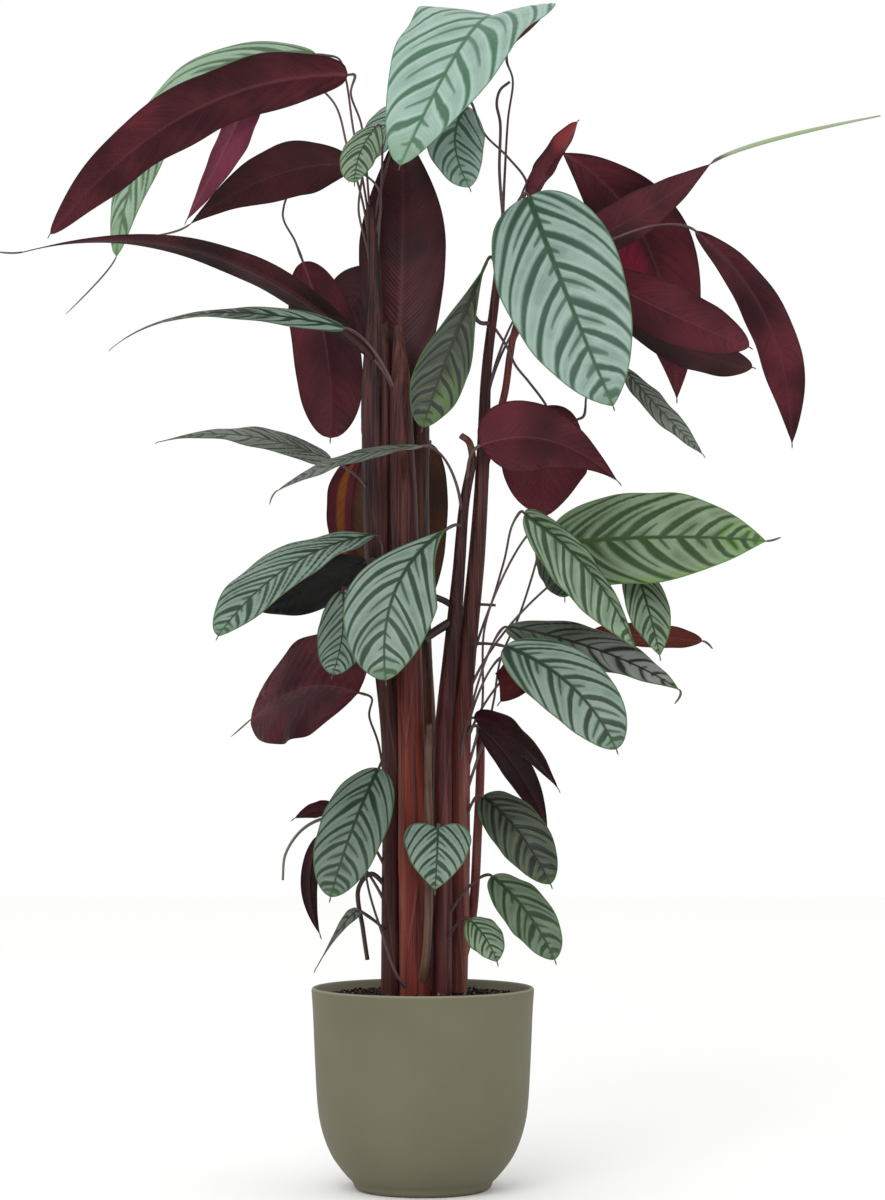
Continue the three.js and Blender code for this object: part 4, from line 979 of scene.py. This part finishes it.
def soft_line(nodes, distance, width):
    """1 nearer than width and 0 beyond it, with a soft edge."""
    return nodes.smooth(distance, nodes.plus(width, SOFT_EDGE), nodes.math("SUBTRACT", width, SOFT_EDGE))


def blade_pattern(nodes, rib_width):
    """What both sides of a blade share: places, wavering vein phase, stripes, midrib and margin."""
    u, t = nodes.map("blade")
    phase, spacing = nodes.map("veins")
    across, inward = nodes.map("rims")
    rho = nodes.math("ABSOLUTE", nodes.line(u, 2, -1))
    waver = nodes.flat_noise(phase, nodes.times(rho, 0.7), 0.9)
    wavy = nodes.plus(phase, nodes.line(waver, 0.7, -0.35))
    uneven = nodes.flat_noise(nodes.times(phase, 1.7), nodes.times(rho, 3))
    thick = nodes.line(uneven, STRIPE_WIDTH, 0.5 * STRIPE_WIDTH)
    width = nodes.times(nodes.smooth(rho, 1.5, 0.4), thick)
    width = nodes.math("MINIMUM", width, nodes.times(spacing, MOST_STRIPE))
    near = nodes.times(line_distance(nodes, wavy), spacing)

    between = nodes.add("ShaderNodeTexWhiteNoise", noise_dimensions="1D")
    nodes.put(nodes.math("FLOOR", wavy), between.inputs["W"])
    reach = nodes.line(between.outputs["Value"], 0.8, 0.15)
    rest = nodes.math("SUBTRACT", 1, nodes.math("DIVIDE", rho, reach), clamp=True)
    short_width = nodes.times(nodes.math("POWER", rest, 0.5), 0.75 * STRIPE_WIDTH)
    near_half = nodes.times(line_distance(nodes, nodes.plus(wavy, 0.5)), spacing)
    return {
        "t": t,
        "near": near,
        "width": width,
        "stripe": soft_line(nodes, near, width),
        "short": nodes.times(soft_line(nodes, near_half, short_width), nodes.smooth(rest, 0.0, 0.15)),
        "rib": soft_line(nodes, across, nodes.line(t, -0.6 * rib_width, rib_width)),
        "margin": nodes.smooth(inward, 2.4, 0.6),
        "veinlets": nodes.math("SINE", nodes.times(wavy, 2 * math.pi * VEINLETS)),
        "fine": nodes.flat_noise(nodes.times(wavy, VEINLETS), nodes.times(rho, 1.5), detail=3.0),
    }


def blushes(nodes, colour, spots):
    """Soft spots of other tones: places along and across the blade, reaches both ways, and tone. A few of
    them are painted shade, and one is painted light.
    """
    u, t = nodes.map("blade")
    for along, across, reach, breadth, tone in spots:
        x = nodes.line(t, 1 / reach, -along / reach)
        y = nodes.line(u, 1 / breadth, -across / breadth)
        away = nodes.plus(nodes.times(x, x), nodes.times(y, y))
        colour = nodes.tint(colour, linear(tone), nodes.smooth(away, 1.3, 0.2), 0.9)
    return colour


def withered(nodes, t, colour, tail):
    """The tail beyond a blade's tip, which changes from one tone to another on its way."""
    tail_colour = nodes.mix(nodes.smooth(t, *TAIL_CHANGE), *tones(tail))
    return nodes.mix(nodes.smooth(t, 1.0, 1.03), colour, tail_colour)


@functools.cache
def upper_side(tone, tail, spots):
    """Silvery upper side with dark feather stripes along the side veins."""
    ground, ground_low, stripe, rib, margin = tones(UPPER[tone])
    nodes = Nodes(f"upper_{tone}")
    p = blade_pattern(nodes, 0.085)
    patches = nodes.grain(28, 3.0)
    colour = nodes.mix(nodes.smooth(patches, 0.35, 0.65), ground, ground_low)
    colour = blushes(nodes, colour, spots)
    # A paler band beside each stripe: partly the blade's own paler tone and partly painted light where the
    # blade bulges between its veins.
    light = (*[min(1, c * 1.22) for c in ground[:3]], 1)
    halo = nodes.smooth(p["near"], nodes.plus(p["width"], 0.13), nodes.plus(p["width"], 0.03))
    colour = nodes.tint(colour, light, halo, 0.55)
    colour = nodes.mix(nodes.line(p["veinlets"], 0.05, 0.05), colour, stripe)
    marks = nodes.math("MAXIMUM", nodes.times(p["stripe"], 0.93), nodes.times(p["short"], 0.8))
    cool = (stripe[0] * 1.1, stripe[1] * 1.3, stripe[2] * 1.5, 1)
    colour = nodes.mix(marks, colour, nodes.mix(nodes.smooth(p["fine"], 0.4, 0.75), stripe, cool))
    colour = nodes.mix(p["rib"], colour, rib)
    colour = nodes.tint(colour, margin, p["margin"], 0.85)
    colour = nodes.tint(colour, margin, nodes.smooth(p["t"], 0.9, 1.0), 0.6)
    colour = withered(nodes, p["t"], colour, tail)
    relief = nodes.line(p["veinlets"], 0.5, nodes.grain(900))
    return nodes.finish(colour, nodes.line(patches, 0.16, 0.36), 0.3, relief, 0.12 * MM)


@functools.cache
def under_side(tone, tail, spots):
    """Wine-red underside with fine veins and a paler midrib."""
    ground, ground_low, rib, margin = tones(UNDER[tone])
    nodes = Nodes(f"under_{tone}")
    p = blade_pattern(nodes, 0.035)
    patches = nodes.grain(12)
    colour = nodes.mix(nodes.smooth(patches, 0.3, 0.7), ground, ground_low)
    colour = blushes(nodes, colour, spots)
    colour = nodes.tint(colour, ground_low, nodes.smooth(p["fine"], 0.35, 0.7), 0.35)
    colour = nodes.mix(nodes.line(p["veinlets"], 0.02, 0.02), colour, rib)
    colour = nodes.tint(colour, rib, p["rib"], nodes.line(p["t"], -0.4, 0.6))
    colour = nodes.tint(colour, margin, p["margin"], 0.7)
    colour = withered(nodes, p["t"], colour, tail)
    relief = nodes.line(p["veinlets"], 0.6, nodes.grain(900))
    return nodes.finish(colour, nodes.line(patches, 0.16, 0.4), 0.2, relief, 0.15 * MM)


# Cane colours: dark, middle and light streaks, then the tones of their tops and where these take over
STEM_TONES = {
    "cane_left": ((38, 22, 22), (86, 46, 42), (118, 88, 74)),
    "cane_red": ((46, 20, 18), (124, 52, 44), (156, 88, 74)),
    "cane_purple": ((46, 24, 26), (96, 46, 46), (132, 90, 80)),
    "cane_right": ((52, 30, 29), (122, 62, 56), (152, 106, 94)),
    "cane_back": ((66, 46, 38), (124, 78, 58), (160, 112, 78)),
}
TOP_TONES = ((36, 21, 25), (92, 56, 56))
FADE_HEIGHTS = (0.28, 0.46)
THIN_TONES = {
    "stalk_skin": ((66, 48, 50), (108, 88, 88)),
    "dry_skin": ((40, 33, 30), (86, 68, 58)),
    "tan_skin": ((66, 42, 34), (118, 92, 76)),
    "pale_skin": ((84, 88, 76), (118, 126, 110)),
}


def cane_material(name, seed):
    """Sheathed cane: long streaks, dark sheath edges, and duller and darker towards its top."""
    dark, middle, light = tones(STEM_TONES[name])
    nodes = Nodes(f"{name}_skin")
    streaks = nodes.noise(nodes.place((1, 1, 0.02)), 300, 4.0, 0.7)
    broad = nodes.noise(nodes.place((1, 1, 0.06)), 70, 2.0)
    colour = nodes.mix(nodes.smooth(streaks, 0.28, 0.66), dark, middle)
    colour = nodes.tint(colour, light, nodes.smooth(broad, 0.5, 0.75), 0.6)
    turn, length = nodes.map("round")
    around = nodes.math("SUBTRACT", nodes.math("FRACT", nodes.plus(turn, SHEATH_TURN * seed)), 0.5)
    steep = nodes.times(nodes.math("ABSOLUTE", around), 2 * SHEATH_SLANT)
    level = nodes.line(length, 1 / SHEATH_LENGTH, nodes.plus(steep, SHEATH_SHIFT * seed))
    seam = nodes.smooth(nodes.math("PINGPONG", level, 0.5), 0.016, 0.004)
    colour = nodes.tint(colour, dark, seam, 0.75)
    bloom = nodes.smooth(nodes.math("FRACT", level), 0.12, 0.0)
    colour = nodes.tint(colour, light, bloom, 0.35)
    top = nodes.mix(nodes.smooth(streaks, 0.4, 0.68), *tones(TOP_TONES))
    colour = nodes.tint(colour, top, nodes.smooth(length, *FADE_HEIGHTS), 0.8)
    return nodes.finish(colour, nodes.line(broad, 0.3, 0.42), 0.25, streaks, 0.4 * MM)


def thin_material(name):
    """Leaf stalk or dry twig: fine lengthwise streaks between two tones."""
    nodes = Nodes(name)
    turn, length = nodes.map("round")
    streaks = nodes.flat_noise(nodes.times(turn, 9), nodes.times(length, 14), detail=2.0)
    patches = nodes.grain(22)
    share = nodes.line(streaks, 0.6, nodes.times(patches, 0.5))
    colour = nodes.mix(nodes.smooth(share, 0.35, 0.75), *tones(THIN_TONES[name]))
    return nodes.finish(colour, nodes.line(patches, 0.2, 0.4), 0.35, streaks, 0.2 * MM)


# Pot and soil tones, and the radii and heights between which a paler tone takes over on the inside wall and
# the top of the lip: painted light on the inside wall and a painted highlight along the lip
POT_TONES = ((119, 116, 95), (114, 111, 90))
PAINTED_LIGHT_TONE = (146, 141, 121)
WALL_RADII = (122.5 * MM, 121 * MM)
WALL_HEIGHTS = (200 * MM, 210 * MM)
LIP_HEIGHTS = (222.6 * MM, 223.8 * MM)
SOIL_TONES = {
    "soil_dark": ((46, 33, 25), (21, 15, 12)),
    "soil_speck": ((150, 125, 105), (96, 76, 60)),
}


def pot_material():
    """Matt glaze with a faint mottling and a fine tooth, and a paler inside wall and lip that are painted
    light and a painted highlight.
    """
    nodes = Nodes("pot_glaze")
    grain = nodes.grain(1400)
    colour = nodes.mix(nodes.smooth(nodes.grain(9), 0.3, 0.7), *tones(POT_TONES))
    radius, height = nodes.far((1, 1, 0)), nodes.far((0, 0, 1))
    # Painted light on the inside wall and a painted highlight on top of the lip
    wall = nodes.times(nodes.smooth(radius, *WALL_RADII), nodes.smooth(height, *WALL_HEIGHTS))
    lip = nodes.math("MAXIMUM", wall, nodes.smooth(height, *LIP_HEIGHTS))
    colour = nodes.mix(lip, colour, linear(PAINTED_LIGHT_TONE))
    return nodes.finish(colour, nodes.line(grain, 0.12, 0.6), 0.3, grain, 0.08 * MM)


def crumb_material(name):
    light, dark = tones(SOIL_TONES[name])
    nodes = Nodes(name)
    grain = nodes.grain(500, 3.0)
    colour = nodes.mix(nodes.smooth(grain, 0.35, 0.65), dark, light)
    return nodes.finish(colour, nodes.line(grain, 0.1, 0.85), 0.15, grain, 0.6 * MM)


def place(name, data):
    """Puts a mesh, camera or light in the scene as an object."""
    made = bpy.data.objects.new(name, data)
    bpy.context.scene.collection.objects.link(made)
    return made


def piece(name, mesh, materials, node):
    """Puts a finished mesh in the scene in place of a CAD node."""
    for material in materials:
        mesh.materials.append(material)
    made = place(name, mesh)
    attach(made, "root")
    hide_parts(node)


def build_plant():
    piece("pot_shell", pot_mesh(), [pot_material()], "pot")
    piece("potting_mix", soil_mesh(), [crumb_material(name) for name in SOIL_TONES], "soil")
    thin = [thin_material(name) for name in THIN_TONES]
    for number, name in enumerate(CANES):
        piece(f"stems{name[4:]}", stems(name, number), [cane_material(name, number), *thin], name)
    for number, leaf in LEAVES.items():
        sides = [
            upper_side(leaf["upper"], leaf["tail_tones"], leaf["upper_spots"]),
            under_side(leaf["under"], leaf["tail_tones"], leaf["under_spots"]),
        ]
        node = f"leaf_{number:02d}"
        piece(f"blade_{number:02d}", blade(node, leaf, number), sides, node)


# Camera, floor and light, in metres, degrees and watts
CAMERA_PLACE = (0.0221, -3.56, 0.5194)
CAMERA_RISE = 2.26
CAMERA_FAR = 50
LENS = 94.7
SENSOR = 36
FLOOR_SIDE = 12
FLOOR_TONES = ((0.97, 0.97, 0.96, 1), (0.9, 0.9, 0.9, 1))
KEY_PLACE = (-0.9, -3.2, 3.0)
KEY_TARGET = (0, 0, 0.7)
KEY_SIZE = 2.4
KEY_WATTS = 55


def build_camera():
    camera = bpy.data.cameras.new("camera")
    camera.lens = LENS
    camera.sensor_width = SENSOR
    camera.clip_end = CAMERA_FAR
    made = place("camera", camera)
    made.location = CAMERA_PLACE
    made.rotation_euler = (math.radians(90 + CAMERA_RISE), 0, 0)
    bpy.context.scene.camera = made


def build_light():
    world = bpy.data.worlds.new("studio")
    world.use_nodes = True
    background = world.node_tree.nodes["Background"]
    background.inputs["Color"].default_value = (1, 1, 1, 1)
    background.inputs["Strength"].default_value = 1.0
    bpy.context.scene.world = world
    bpy.context.scene.view_settings.view_transform = "Standard"
    light = bpy.data.lights.new("key", "AREA")
    light.shape = "DISK"
    light.size = KEY_SIZE
    light.energy = KEY_WATTS
    made = place("key", light)
    made.location = KEY_PLACE
    made.rotation_euler = (Vector(KEY_TARGET) - Vector(KEY_PLACE)).to_track_quat("-Z", "Y").to_euler()


def build_floor():
    half = FLOOR_SIDE / 2
    mesh = bpy.data.meshes.new("floor")
    corners = [(-half, -half, 0), (half, -half, 0), (half, half, 0), (-half, half, 0)]
    mesh.from_pydata(corners, [], [(0, 1, 2, 3)])
    nodes = Nodes("floor_paint")
    cloud = nodes.grain(3)
    colour = nodes.mix(nodes.times(cloud, 0.04), *FLOOR_TONES)
    mesh.materials.append(nodes.finish(colour, nodes.line(cloud, 0.05, 0.8), 0.1))
    place("floor", mesh)


build_camera()
build_light()
build_floor()
build_plant()

bpy.context.view_layer.update()
